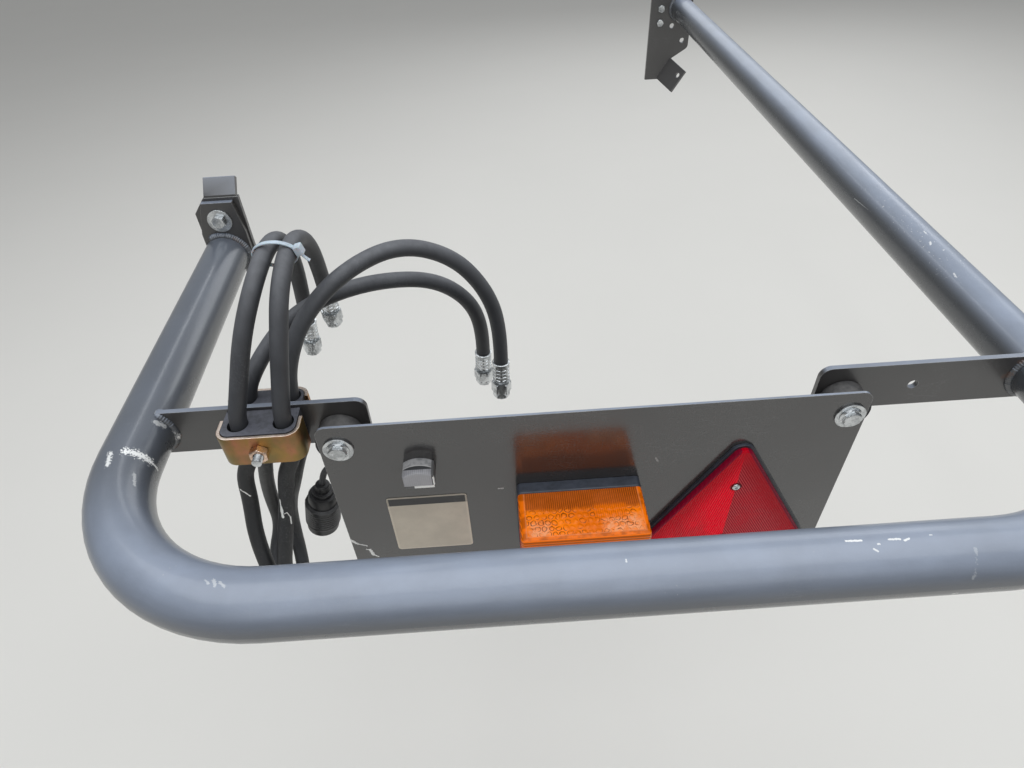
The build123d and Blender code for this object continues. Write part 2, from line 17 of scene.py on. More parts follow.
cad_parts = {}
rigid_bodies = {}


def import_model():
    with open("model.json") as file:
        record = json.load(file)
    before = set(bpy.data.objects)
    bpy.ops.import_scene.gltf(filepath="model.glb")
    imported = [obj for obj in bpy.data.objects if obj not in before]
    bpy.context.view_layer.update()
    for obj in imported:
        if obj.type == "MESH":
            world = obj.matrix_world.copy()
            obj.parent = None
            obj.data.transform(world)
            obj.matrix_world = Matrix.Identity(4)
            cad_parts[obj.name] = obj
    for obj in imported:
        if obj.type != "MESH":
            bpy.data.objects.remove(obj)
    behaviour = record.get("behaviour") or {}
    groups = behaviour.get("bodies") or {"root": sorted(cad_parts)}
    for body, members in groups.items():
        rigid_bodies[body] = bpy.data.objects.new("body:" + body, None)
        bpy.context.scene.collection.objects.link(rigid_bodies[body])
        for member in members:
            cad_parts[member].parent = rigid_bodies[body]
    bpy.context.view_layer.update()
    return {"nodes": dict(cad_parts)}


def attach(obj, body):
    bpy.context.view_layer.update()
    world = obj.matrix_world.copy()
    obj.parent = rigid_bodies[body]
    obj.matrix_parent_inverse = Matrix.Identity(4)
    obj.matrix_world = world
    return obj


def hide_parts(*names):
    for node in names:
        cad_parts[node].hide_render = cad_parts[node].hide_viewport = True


bl_info = {
    "name": "Guard hoop finisher",
    "version": (1, 0, 0),
    "blender": (4, 5, 0),
    "location": "3D View > Sidebar > Hoop",
    "description": "Paints and dresses the rear guard hoop of a round baler",
    "category": "Object",
}

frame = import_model()
ORIGIN = np.array((-380.0, 581.0, 20.0))
MM = 0.001


def row(points):
    """Metres in the part's frame, from one point or an array of points in hoop millimetres."""
    return (np.asarray(points, float) - ORIGIN) / 1000.0


def level(axis, value):
    """Metres in the part's frame, from one hoop coordinate in millimetres."""
    return float((value - ORIGIN[axis]) / 1000.0)


# ---- Settings

COLOUR = {"subtype": "COLOR", "size": 3, "min": 0.0, "max": 1.0}


class HoopPaint(bpy.types.PropertyGroup):
    """Colours and wear of the painted steel."""

    base: FloatVectorProperty(name="Paint", description="Anthracite paint", default=(0.046, 0.05, 0.056), **COLOUR)
    # The film on upper faces: dust, and a painted bluish sheen of light on the tube's tops.
    dust_and_sheen: FloatVectorProperty(name="Haze", description="Dust on upper faces", default=(0.27, 0.315, 0.405), **COLOUR)
    board: FloatVectorProperty(name="Board", description="Light board", default=(0.036, 0.0335, 0.0325), **COLOUR)
    chip: FloatVectorProperty(name="Chip", description="Chipped spots", default=(0.8, 0.8, 0.78), **COLOUR)
    rust: FloatVectorProperty(name="Rust", description="Rust at the welds", default=(0.1, 0.052, 0.034), **COLOUR)
    gloss: FloatProperty(name="Roughness", description="Roughness of clean paint", default=0.24, min=0.05, max=1.0)
    weld: FloatProperty(name="Weld leg", description="Leg of the weld beads", default=0.006, unit="LENGTH")


class HoopHose(bpy.types.PropertyGroup):
    """The hydraulic hoses, the lamps' lead and the cable tie."""

    diameter: FloatProperty(name="Hose", description="Outside diameter", default=0.0174, unit="LENGTH")
    lead: FloatProperty(name="Lead", description="Diameter of the lamps' lead", default=0.0074, unit="LENGTH")
    cover: FloatVectorProperty(name="Cover", description="Hose cover", default=(0.03, 0.031, 0.034), **COLOUR)
    tie: FloatVectorProperty(name="Tie", description="Cable tie", default=(0.46, 0.52, 0.58), **COLOUR)
    tie_width: FloatProperty(name="Tie width", description="Width of the strap", default=0.0046, unit="LENGTH")


class HoopFasteners(bpy.types.PropertyGroup):
    """Bolts, nuts, washers and the clamps' straps."""

    flats: FloatProperty(name="Across flats", description="Hexagon of the bolts", default=0.017, unit="LENGTH")
    pitch: FloatProperty(name="Pitch", description="Thread pitch", default=0.0015, unit="LENGTH")
    zinc: FloatVectorProperty(name="Zinc", description="Bright zinc", default=(0.66, 0.68, 0.69), **COLOUR)
    gold: FloatVectorProperty(name="Yellow zinc", description="Straps", default=(0.37, 0.225, 0.075), **COLOUR)


class HoopLamps(bpy.types.PropertyGroup):
    """Lenses, reflector and sign plate."""

    amber: FloatVectorProperty(name="Amber", description="Upper lens", default=(0.95, 0.18, 0.0015), **COLOUR)
    red: FloatVectorProperty(name="Red", description="Reflector, lower lens", default=(0.95, 0.002, 0.022), **COLOUR)
    sign: FloatVectorProperty(name="Sign", description="Blank plate", default=(0.52, 0.46, 0.375), **COLOUR)
    dimple: FloatProperty(name="Dimple", description="Pitch of the lens optics", default=0.0075, unit="LENGTH")
    rib: FloatProperty(name="Rib", description="Pitch of the reflector's ribs", default=0.0025, unit="LENGTH")


class HoopStage(bpy.types.PropertyGroup):
    """Camera, floor and lamps of the picture."""

    focal: FloatProperty(name="Focal length", description="On a 36 mm sensor", default=23.21, min=5.0, max=200.0)
    pitch: FloatProperty(name="Pitch", description="Degrees below level", default=42.16445)
    yaw: FloatProperty(name="Yaw", description="Degrees to the side", default=-0.92983)
    roll: FloatProperty(name="Roll", description="Degrees about the view", default=-3.14319)
    floor: FloatVectorProperty(name="Floor", description="Pale floor", default=(0.74, 0.72, 0.68), **COLOUR)
    drop: FloatProperty(name="Floor height", description="Level of the floor", default=-0.78, unit="LENGTH")
    power: FloatProperty(name="Softbox", description="Power of the overhead softbox", default=76.0, min=0.0)
    fill: FloatProperty(name="Fill", description="Strength of the even light all round", default=0.38, min=0.0)


# ---- Surfaces worked out as whole arrays


def quads(rows, cols, wrap_rows=False):
    """Faces of a grid stored row by row and closed round: each joins two neighbours to the two in the next row."""
    r, c = np.meshgrid(np.arange(rows if wrap_rows else rows - 1), np.arange(cols), indexing="ij")
    r2, c2 = (r + 1) % rows, (c + 1) % cols
    return np.stack((r * cols + c, r * cols + c2, r2 * cols + c2, r2 * cols + c), -1).reshape(-1, 4)


def capped(rows, cols):
    """Faces of such a grid as lists, with a cap on its first and last row."""
    last = (rows - 1) * cols
    return quads(rows, cols).tolist() + [list(range(cols)), list(range(last, last + cols))]


def as_lists(faces):
    """Faces as plain lists, from an array of quads or from a list that also holds caps with more corners."""
    return faces.tolist() if isinstance(faces, np.ndarray) else faces


def add_piece(name, surface, material, stands_for=(), crease=35.0):
    """Puts a surface, given as points and faces, into one piece that is shaded smooth below the crease angle."""
    points, faces = surface
    mesh = bpy.data.meshes.new(name)
    mesh.from_pydata(np.asarray(points, float).reshape(-1, 3).tolist(), [], as_lists(faces))
    return finish_piece(name, mesh, material, stands_for, crease)


def enter(name, data, material, stands_for):
    """Puts a mesh or curve with its material into the scene as a piece that rides on the hoop."""
    data.materials.clear()
    data.materials.append(material)
    piece = bpy.data.objects.new(name, data)
    bpy.context.scene.collection.objects.link(piece)
    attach(piece, "root")
    if stands_for:
        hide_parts(*stands_for)
    return piece


def finish_piece(name, mesh, material, stands_for, crease):
    """Merges doubles, recalculates normals, smooths below the crease angle, and makes the mesh a piece."""
    work = bmesh.new()
    work.from_mesh(mesh)
    bmesh.ops.remove_doubles(work, verts=work.verts, dist=2e-6)
    bmesh.ops.dissolve_degenerate(work, edges=work.edges, dist=1e-6)
    bmesh.ops.recalc_face_normals(work, faces=work.faces)
    work.to_mesh(mesh)
    work.free()
    mesh.polygons.foreach_set("use_smooth", np.ones(len(mesh.polygons), bool))
    mesh.set_sharp_from_angle(angle=math.radians(crease))
    return enter(name, mesh, material, stands_for)


def softened(node, width, material):
    """A merged copy of a CAD node with its flat faces joined and its sharp edges rounded by that width."""
    mesh = frame["nodes"][node].data.copy()
    work = bmesh.new()
    work.from_mesh(mesh)
    bmesh.ops.remove_doubles(work, verts=work.verts, dist=5e-6)
    bmesh.ops.dissolve_limit(work, angle_limit=math.radians(0.6), verts=work.verts, edges=work.edges)
    work.to_mesh(mesh)
    work.free()
    crease = 30.0
    bevel = finish_piece(node + "_finished", mesh, material, (node,), crease).modifiers.new("soft_edges", "BEVEL")
    bevel.width = width
    bevel.segments = 3
    bevel.limit_method = "ANGLE"
    bevel.angle_limit = math.radians(crease)
    bevel.harden_normals = True


def spokes(axis, angle):
    """The axis as a unit vector, and unit vectors square to it at those angles round it."""
    axis = np.asarray(axis, float) / np.linalg.norm(axis)
    side = np.cross(axis, (0.0, 0.0, 1.0) if abs(axis[2]) < 0.9 else (0.0, 1.0, 0.0))
    side /= np.linalg.norm(side)
    return axis, np.cos(angle)[:, None] * side + np.sin(angle)[:, None] * np.cross(axis, side)


def across_flats(angle, apothem, flats):
    """Radius of a regular polygon: the apothem over the cosine of the angle from its nearest flat's middle."""
    step = 2 * math.pi / flats
    return apothem / np.cos(np.mod(angle, step) - step / 2)


def turned(levels, start, axis, sides=72, closed=False, turn=0.0, unit=1.0):
    """Surface carried round an axis. At a level (height, radius) its outline is a circle of that radius, and at a level
    (height, apothem, flats, cap) a polygon cut by a circle of radius cap. Heights run along the axis from start."""
    angle = np.linspace(0, 2 * math.pi, sides, endpoint=False)
    axis, spoke = spokes(axis, angle)
    turn = round(turn / angle[1]) * angle[1]
    rings = []
    for height, radius, flats, cap in ((*each, 0, 0)[:4] for each in levels):
        reach = np.minimum(across_flats(angle + turn, radius, flats), cap) if flats else np.full(sides, radius)
        rings.append(np.asarray(start, float) + height * unit * axis + (reach * unit)[:, None] * spoke)
    return np.array(rings), quads(len(rings), sides, wrap_rows=closed)


def thread(radius, pitch, low, high, start, axis, sides=36):
    """Threaded rod: the radius drops by a rounded V whose phase is height over pitch less angle over a full turn."""
    heights = np.concatenate(([low, low], np.linspace(low, high, int((high - low) / pitch * 8) + 2), [high]))[:, None]
    angle = np.linspace(0, 2 * math.pi, sides, endpoint=False)
    axis, spoke = spokes(axis, angle)
    phase = np.mod(heights / pitch - angle[None, :] / (2 * math.pi), 1.0)
    depth = 0.6 * pitch * (1 - np.abs(2 * phase - 1)) * np.clip((high - heights) / pitch, 0, 1)
    reach = radius - depth - 0.7 * MM * (heights > high - 0.3 * MM)
    reach[0], reach[-1] = 0.0, 0.0
    points = np.asarray(start, float) + heights[..., None] * axis + reach[..., None] * spoke[None]
    return points, quads(len(heights), sides)


def section(width, height, radius, arc=5):
    """Closed outline of a rectangle with rounded corners: four quarter circles of that radius about inset corners."""
    turn = np.linspace(0, math.pi / 2, arc)
    quarter = np.arange(4)[:, None] * math.pi / 2 + turn[None, :]
    signs = np.array(((1, 1), (-1, 1), (-1, -1), (1, -1)))
    centre = signs * (width / 2 - radius, height / 2 - radius)
    return (centre[:, None, :] + radius * np.stack((np.cos(quarter), np.sin(quarter)), -1)).reshape(-1, 2)


def carried(outline, path, up, closed=False):
    """Outline carried along a flat path: its first coordinate goes sideways, its second along up, at every point."""
    path, up = np.asarray(path, float), np.asarray(up, float) / np.linalg.norm(up)
    along = np.roll(path, -1, 0) - np.roll(path, 1, 0) if closed else np.gradient(path, axis=0)
    side = np.cross(along, up)
    side /= np.linalg.norm(side, axis=1, keepdims=True)
    points = path[:, None, :] + outline[None, :, :1] * side[:, None, :] + outline[None, :, 1:] * up
    return points, quads(len(path), len(outline), True) if closed else capped(len(path), len(outline))


def pebble(centre, half, power, axes, across=32, down=20):
    """Rounded block: a superellipsoid, each coordinate the half size times a sine or cosine raised to a small power."""
    u = np.linspace(-math.pi, math.pi, across, endpoint=False)[None, :]
    v = np.linspace(-math.pi / 2, math.pi / 2, down)[:, None]

    def soft(value):
        return np.sign(value) * np.abs(value) ** power

    parts = (soft(np.cos(v)) * soft(np.cos(u)), soft(np.cos(v)) * soft(np.sin(u)), soft(np.sin(v)) + 0 * u)
    local = np.stack(parts, -1) * np.asarray(half)
    return np.asarray(centre, float) + local @ np.asarray(axes, float), quads(down, across)


BEAD_STEP, BEAD_RIPPLE = 0.7 * MM, 2.6 * MM


def bead(centre, radius, plate, tube, start, stop, leg, seed):
    """Fillet weld round a tube where a plate meets it. All along the arc, its section is a bulged quarter between the
    tube's surface, along tube, and the plate's face, outward from the tube. The leg swells at each ripple."""
    count = int(abs(stop - start) * radius / BEAD_STEP)
    angle = np.linspace(start, stop, count)
    ripple = np.abs(np.sin(np.arange(count) * BEAD_STEP / BEAD_RIPPLE * math.pi))
    noise = np.random.default_rng(seed).normal(0, 1, count)
    wander = np.convolve(noise, np.hanning(25) / np.hanning(25).sum(), "same")
    fade = np.clip(np.minimum(np.arange(count), np.arange(count)[::-1]) / 7.0, 0.02, 1.0) ** 0.5
    size = leg * fade * (0.86 + 0.16 * ripple + 0.16 * wander)
    sunk = 0.12
    turn = np.linspace(-sunk, math.pi / 2 + sunk, 9)
    bulge = (1 + 0.24 * np.sin(2 * np.clip(turn, 0, math.pi / 2))) / (np.abs(np.cos(turn)) + np.abs(np.sin(turn)))
    shape = np.concatenate((np.stack((np.cos(turn) * bulge, np.sin(turn) * bulge), -1), [[-sunk, -sunk]]))
    spoke = np.cos(angle)[:, None] * np.asarray(plate[0]) + np.sin(angle)[:, None] * np.asarray(plate[1])
    rim = np.asarray(centre) + radius * spoke
    offset = shape[None, :, :1] * np.asarray(tube) + shape[None, :, 1:] * spoke[:, None, :]
    return rim[:, None, :] + size[:, None, None] * offset, capped(count, len(shape))


# ---- Shader helpers

SHARED = {}


def join(tree, node, values):
    """Fills inputs of a node: sockets are linked, other values are set there."""
    for key, value in values.items():
        if isinstance(value, bpy.types.NodeSocket):
            tree.links.new(value, node.inputs[key])
        else:
            node.inputs[key].default_value = value


def effect(output, **inputs):
    """Keeps the function below it as a shared node group with those inputs and one output."""

    def keep(fill):
        SHARED[fill.__name__] = (fill, inputs, output)
        return fill

    return keep


def material_maker(fill):
    """Turns a function that fills a net into one that gives the material of a name, made only once."""

    @wraps(fill)
    def make(name, *values, **more):
        material = bpy.data.materials.get(name)
        if material is None:
            material = bpy.data.materials.new(name)
            material.use_nodes = True
            net = Net(material.node_tree)
            fill(net, *values, **more)
        return material

    return make


def shade(colour, share, lift=0.0):
    """A colour times a share, plus a lift."""
    return tuple(min(1.0, share * v + lift) for v in colour)


class Net:
    """Short way to fill a node tree: add() places a node, fills its inputs and gives one output."""

    def __init__(self, tree):
        self.tree = tree

    def add(self, kind, values, out=0, **settings):
        node = self.tree.nodes.new(kind)
        for key, value in settings.items():
            setattr(node, key, value)
        join(self.tree, node, values)
        return node.outputs[out]

    def calc(self, operation, *values):
        return self.add("ShaderNodeMath", dict(enumerate(values)), operation=operation)

    def mul(self, *values):
        """Product of the values."""
        return reduce(lambda a, b: self.calc("MULTIPLY", a, b), values)

    def plus(self, *values):
        """Sum of the values."""
        return reduce(lambda a, b: self.calc("ADD", a, b), values)

    def top(self, *values):
        """Highest of the values."""
        return reduce(lambda a, b: self.calc("MAXIMUM", a, b), values)

    def less(self, a, b):
        """The first value less the second."""
        return self.calc("SUBTRACT", a, b)

    def ramp(self, value, low, high, *outs):
        """Smooth step of a value from low to high, from 0 to 1 or between the two outs."""
        values = dict(enumerate((value, low, high, *(outs or (0.0, 1.0)))))
        return self.add("ShaderNodeMapRange", values, interpolation_type="SMOOTHSTEP")

    def span(self, axis, low, high, *outs):
        """Smooth step of the place on one axis between two hoop coordinates."""
        return self.ramp(self.axes[axis], level(axis, low), level(axis, high), *outs)

    def blend(self, share, a, b):
        """Colour a where share is 0 and b where it is 1."""
        a, b = (x if isinstance(x, bpy.types.NodeSocket) else (*x, 1.0) for x in (a, b))
        return self.add("ShaderNodeMix", {0: share, 6: a, 7: b}, out=2, data_type="RGBA")

    def mix(self, share, a, b):
        """Value a where share is 0 and b where it is 1."""
        return self.add("ShaderNodeMix", {0: share, 2: a, 3: b})

    def noise(self, scale, detail=4.0, rough=0.55, out=0, at=None):
        """Noise at the place, or at another vector."""
        values = {"Vector": at or self.place, "Scale": scale, "Detail": detail, "Roughness": rough}
        return self.add("ShaderNodeTexNoise", values, out)

    def cloud(self, scale, detail, rough, low, high, *outs, at=None):
        """Noise stepped from low to high."""
        return self.ramp(self.noise(scale, detail, rough, at=at), low, high, *outs)

    def mottled(self, colour, dark, light, *cloud):
        """A colour that drifts between two shares of itself."""
        return self.blend(self.cloud(*cloud), shade(colour, dark), shade(colour, light))

    def uneven(self, base, share, *noise):
        """A value with a share of noise on top."""
        return self.plus(base, self.mul(self.noise(*noise), share))

    def vector(self, operation, a, b, out=0):
        return self.add("ShaderNodeVectorMath", {0: a, 1: b}, out, operation=operation)

    def stretch(self, scale):
        """The place scaled on each axis."""
        return self.add("ShaderNodeMapping", {"Vector": self.place, "Scale": scale})

    @cached_property
    def place(self):
        """Object coordinates."""
        return self.add("ShaderNodeTexCoord", {}, out=3)

    @cached_property
    def axes(self):
        """The three object coordinates."""
        return self.split(self.place)

    def face(self):
        """The face's own normal."""
        return self.add("ShaderNodeNewGeometry", {}, out=1)

    def split(self, vector):
        """The three coordinates of a vector."""
        return self.add("ShaderNodeSeparateXYZ", {0: vector}).node.outputs

    def relief(self, height, strength, distance):
        """Normal from a height."""
        return self.add("ShaderNodeBump", {"Height": height, "Strength": strength, "Distance": distance})

    def shared(self, name, **values):
        """Places a shared group, built when it is first wanted, with its own values and gives its output."""
        fill, inputs, output = SHARED[name]
        tree = bpy.data.node_groups.get(name)
        if tree is None:
            tree = bpy.data.node_groups.new(name, "ShaderNodeTree")
            for label, value in inputs.items():
                kind = "NodeSocketVector" if isinstance(value, tuple) else "NodeSocketFloat"
                tree.interface.new_socket(name=label, in_out="INPUT", socket_type=kind).default_value = value
            tree.interface.new_socket(name=output, in_out="OUTPUT", socket_type="NodeSocketFloat")
            given, wanted = tree.nodes.new("NodeGroupInput"), tree.nodes.new("NodeGroupOutput")
            tree.links.new(fill(Net(tree), given.outputs), wanted.inputs[output])
        node = self.tree.nodes.new("ShaderNodeGroup")
        node.node_tree = tree
        join(self.tree, node, values)
        return node.outputs[0]

    def drive(self, **values):
        """Joins sockets to the Principled shader by name, and sets plain values there."""
        shader = next(n for n in self.tree.nodes if n.type == "BSDF_PRINCIPLED")
        join(self.tree, shader, {key.replace("_", " "): value for key, value in values.items()})

    def coat(self, colour, rough, height, strength, distance, **values):
        """Ends a material: colour, roughness, a normal from a height, and what else its shader takes."""
        normal = self.relief(height, strength, distance)
        self.drive(Base_Color=colour, Roughness=rough, Normal=normal, **values)


@effect("Mask", Amount=0.5, Scale=14.0, Lean=-0.1, Full=1.0, Clouds=0.9, Wipe=(5.0, 5.0, 0.9))
def dust_and_sheen_film(net, given):
    """Settled dust and a painted sheen on upper faces: the upward share of the normal from Lean to Full, thinned by
    clouds and by wiped streaks.
    """
    facing = net.ramp(net.split(net.face())[2], given["Lean"], given["Full"])
    cloud = net.cloud(given["Scale"], 4.0, 0.6, 0.3, 0.72)
    streak = net.cloud(given["Scale"], 3.0, 0.6, 0.3, 0.75, at=net.vector("MULTIPLY", net.place, given["Wipe"]))
    both = net.plus(net.mul(cloud, 0.5), net.mul(streak, 0.5))
    return net.mul(facing, net.less(1.0, net.mul(both, given["Clouds"])), given["Amount"])


@effect("Mask", Amount=1.0, Scale=90.0, Radius=0.0015)
def edge_wear_and_highlight(net, given):
    """Worn edges, on the light board partly a painted highlight: where the normal of a rounded edge leaves the face's
    own, past a threshold moved by noise.
    """
    soft = net.add("ShaderNodeBevel", {"Radius": given["Radius"]}, samples=6)
    turn = net.less(1.0, net.vector("DOT_PRODUCT", soft, net.face(), 1))
    gate = net.top(net.plus(net.mul(net.noise(given["Scale"], 5.0, 0.65), 0.5), -0.2), 0.012)
    return net.mul(net.ramp(net.less(turn, gate), 0.0, 0.06), given["Amount"])


@effect("Mask", Start=(0.0, 0.0, 0.0), End=(0.0, 0.0, 0.01), Width=0.002, Ragged=1.6, Strength=1.0, Grain=0.0)
def paint_streak(net, given):
    """A scraped line: distance to the segment from Start to End over Width, made ragged by Grain."""
    run = net.vector("SUBTRACT", given["End"], given["Start"])
    gap = net.vector("SUBTRACT", net.place, given["Start"])
    square = net.top(net.vector("DOT_PRODUCT", run, run, 1), 1e-9)
    share = net.calc("DIVIDE", net.vector("DOT_PRODUCT", gap, run, 1), square)
    share = net.calc("MINIMUM", net.top(share, 0.0), 1.0)
    near = net.add("ShaderNodeVectorMath", {0: run, "Scale": share}, operation="SCALE")
    away = net.add("ShaderNodeVectorMath", {0: net.vector("SUBTRACT", gap, near)}, 1, operation="LENGTH")
    ragged = net.plus(net.calc("DIVIDE", away, given["Width"]), net.mul(given["Grain"], given["Ragged"]))
    return net.mul(net.ramp(ragged, 1.0, 0.8), given["Strength"])


@effect("Mask", Amount=0.5, Scale=30.0)
def fine_scratch(net, given):
    """Hairline rubs: the thin crests of two long stretched noises laid across each other."""
    crests = []
    for scale in ((1.0, 14.0, 5.0), (12.0, 2.0, 3.0)):
        noise = net.noise(given["Scale"], 2.0, 0.4, at=net.stretch(scale))
        crests.append(net.ramp(net.calc("ABSOLUTE", net.less(noise, 0.5)), 0.012, 0.0))
    return net.mul(net.top(*crests), net.cloud(9.0, 2.0, 0.55, 0.48, 0.62), given["Amount"])


@effect("Mask", Scale=60.0)
def bloom(net, given):
    """Dull patches of a plated surface: two sizes of noise multiplied."""
    large, small = net.noise(given["Scale"], 4.0, 0.6), net.noise(net.mul(given["Scale"], 6.0), 5.0, 0.7)
    return net.ramp(net.mul(large, net.plus(small, 0.5)), 0.35, 0.7)


@effect("Height", Direction=(1.0, 0.0, 0.0), Pitch=0.003)
def ribs(net, given):
    """Straight ribs: a rounded wave of the place measured along Direction, once every Pitch."""
    along = net.calc("DIVIDE", net.vector("DOT_PRODUCT", net.place, given["Direction"], 1), given["Pitch"])
    return net.plus(net.mul(net.calc("SINE", net.mul(along, 2 * math.pi)), 0.5), 0.5)


@effect("Height", Across=0.0, Along=0.0, Pitch=0.0075)
def bubbles(net, given):
    """Rows of round bubbles in a brick grid: the height falls smoothly from the middle of each cell to its edge."""
    v = net.calc("DIVIDE", given["Along"], given["Pitch"])
    line = net.calc("FLOOR", v)
    u = net.plus(net.calc("DIVIDE", given["Across"], given["Pitch"]), net.mul(line, 0.5))
    a, b = net.less(net.calc("FRACT", u), 0.5), net.less(net.less(v, line), 0.5)
    return net.ramp(net.calc("SQRT", net.plus(net.mul(a, a), net.mul(b, b))), 0.5, 0.06)


# ---- Wear: scrapes and rust in hoop millimetres, as start, end, half width, how ragged, how strong

TUBE_SCRAPES = (
    ((-366, 156, 28.5), (-355.7, 156.3, 21.6), 3.6, 7.4, 0.95),
    ((-355.7, 156.3, 21.6), (-349.4, 155.6, 13), 3.2, 7.2, 0.9),
    ((-349.4, 155.6, 13), (-346.5, 154.8, 0.2), 1.3, 3.0, 0.8),
    ((-379.7, 153.5, 30), (-376, 138, 30), 2.2, 6.4, 0.8),
    ((-351.6, 132, 22.3), (-348.1, 118, 20.5), 1.6, 5.0, 0.35),
    ((-356.6, 201, 21.3), (-351.4, 203, 13.6), 2.8, 5.4, 0.45),
    ((-246.5, 6.7, 29.8), (-243, 3.4, 30.1), 0.9, 5.4, 0.34),
    ((-240, 6, 30), (-237, 1.4, 30.1), 1.3, 6.4, 0.34),
    ((-234.3, 4, 30.1), (-229.3, -1, 30.1), 1.0, 6.4, 0.34),
    ((263.5, 1.9, 30.1), (275.4, 1.4, 30.1), 1.0, 2.2, 0.9),
    ((297.4, 0.6, 30.1), (306.2, 0.3, 30.1), 1.0, 2.6, 0.8),
    ((309.3, -1.3, 30.1), (313.3, 0.2, 30.1), 0.9, 2.2, 0.8),
    ((282.3, -6.6, 29.4), (284.8, -8.3, 28.9), 0.9, 2.2, 0.7),
    ((287, -2.8, 30), (288.4, -2.8, 30), 0.8, 2.0, 0.7),
    ((331.2, 2.1, 30.1), (332.6, 2.1, 30.1), 0.7, 1.6, 0.6),
    ((361, -12, 28), (357, -28, 12), 1.4, 4.6, 0.2),
    ((351, -30, -7), (348, -29, -8), 1.2, 3.0, 0.8),
    ((87, -3, 30), (87, -1, 30), 0.8, 2.0, 0.6),
    ((561, 435, 28.2), (558, 430, 28.2), 1.3, 4.0, 0.7),
    ((554, 366, 25.5), (553, 358, 25.5), 1.0, 4.0, 0.6),
    ((565, 460, 29.8), (565, 455, 29.8), 1.0, 4.0, 0.6),
    ((541, 600, 8), (546, 478, 16), 0.8, 1.2, 0.25),
)
PLATE_SCRAPES = TUBE_SCRAPES[5:6]
BOARD_SCRAPES = (
    ((-196, 182, -176), (-189, 182, -185), 1.8, 4.0, 0.95),
    ((-189, 182, -185), (-179, 182, -190), 1.1, 2.8, 0.7),
    ((-181, 182, -197), (-177, 182, -199), 0.9, 1.6, 0.9),
    ((-177, 182, -199), (-174.5, 182, -209), 1.9, 4.0, 0.95),
    ((-174.5, 182, -209), (-169, 182, -214.5), 1.0, 2.0, 0.9),
    ((160, 182, -64), (163, 182, -70), 1.1, 5.0, 0.22),
    ((-14, 182, -98), (-9, 182, -98), 1.0, 3.4, 0.5),
)
HOSE_SCRAPES = (
    ((-293.2, 180.1, -67.2), (-288.5, 178, -70.4), 1.0, 1.4, 1.0),
    ((-288.5, 178, -70.4), (-284.7, 178.1, -77.1), 0.8, 1.4, 1.0),
    ((-252.6, 172.8, -80.8), (-252.7, 169.3, -88.6), 1.1, 1.6, 1.0),
    ((-252.7, 169.3, -88.6), (-252.6, 164.4, -100.1), 1.7, 2.0, 1.0),
    ((-250.8, 165.6, -96.5), (-247.4, 166.5, -95.4), 0.5, 0.8, 0.9),
    ((-247.4, 166.5, -95.4), (-245.4, 165.9, -103), 0.55, 0.8, 0.9),
    ((-245.4, 165.9, -103), (-246.3, 163.9, -112), 0.9, 1.2, 1.0),
)
RUST_SPOTS = (
    ((-353, 209, 6), (-347, 209, -9), 3.4, 5.0, 0.9),
    ((-352, 209, -20), (-356, 209, -24), 2.6, 5.0, 0.8),
    ((533, 209, -2), (538, 209, 3), 3.2, 5.0, 0.8),
    ((540, 209, 18), (545, 209, 22), 2.2, 5.0, 0.8),
    ((-368, 563, 27), (-358, 563, 14), 2.4, 5.0, 0.6),
)


def scrapes(net, table, grain):
    """The highest of all scrape masks of a table, which share one grain."""
    masks = []
    for a, b, width, ragged, strength in table:
        ends = {"Start": tuple(row(a)), "End": tuple(row(b)), "Width": width * MM}
        masks.append(net.shared("paint_streak", Ragged=ragged, Strength=strength, Grain=grain, **ends))
    return net.top(*masks)


# ---- Materials: each call gives the material of a name


@material_maker
def paint(net, base, table, roughness, film, lean, wipe, specks, rub, legs=False):
    """Anthracite paint: slight orange peel, a film of dust and painted bluish sheen on top, hairlines, worn edges,
    chips and rust.
    With legs, the film is thinner on the left leg than on the cross bar and the right leg, which paints the left leg
    darker, as in shade."""
    look = bpy.context.scene.hoop_paint
    colour = net.mottled(base, 0.92, 1.1, 9.0, 3.0, 0.55, 0.3, 0.7)
    if legs:
        # Right leg: its film of dust and painted sheen keeps nearer the top, and its top is chipped.
        right = net.span(0, 300, 520)
        lean = net.plus(lean, net.mul(right, net.span(1, 60, 260), 0.5))
        field = net.mul(net.span(1, 330, 400), net.span(1, 640, 520), net.span(2, 12, 27))
        chipped = net.mul(field, right, net.cloud(300.0, 2.0, 0.7, 0.66, 0.69))
    dust = net.shared("dust_and_sheen_film", Amount=film, Scale=18.0, Lean=lean, Clouds=0.3, Wipe=wipe)
    # Painted shade: the film of dust and sheen thins on the left leg, which stays darker.
    if legs:
        dust = net.mul(dust, net.top(net.span(1, 150, 20, 0.26, 1.0), right))
    # Painted sheen and dust: upper faces turn bluish grey.
    colour = net.blend(dust, colour, look.dust_and_sheen)
    colour = net.blend(net.shared("fine_scratch", Amount=0.1, Scale=26.0), colour, (0.3, 0.31, 0.32))
    speck = net.cloud(620.0, 1.0, 0.5, 0.745, 0.77)
    sparse = net.cloud(16.0, 2.0, 0.55, 0.56, 0.66)
    colour = net.blend(net.mul(speck, net.mul(sparse, specks)), colour, (0.5, 0.48, 0.44))
    colour = net.blend(net.shared("edge_wear_and_highlight", Amount=rub, Scale=120.0, Radius=0.0014), colour, (0.28, 0.28, 0.27))
    grain = net.less(net.noise(520.0, 4.0, 0.75), 0.5)
    rusty, chips = scrapes(net, RUST_SPOTS, grain), scrapes(net, table, grain)
    if legs:
        chips = net.top(chips, net.mul(chipped, 0.6))
    colour = net.blend(net.mul(rusty, 0.85), colour, look.rust)
    colour = net.blend(chips, colour, look.chip)
    smooth = net.plus(net.uneven(roughness, 0.07, 22.0, 4.0, 0.6), net.mul(dust, 0.18))
    rough = net.top(smooth, net.mul(net.top(chips, rusty), 0.75))
    net.coat(colour, rough, net.noise(420.0, 1.0, 0.5), 0.1, 0.0006, IOR=1.5, Specular_IOR_Level=0.9,
             Coat_Weight=0.3, Coat_Roughness=0.12)


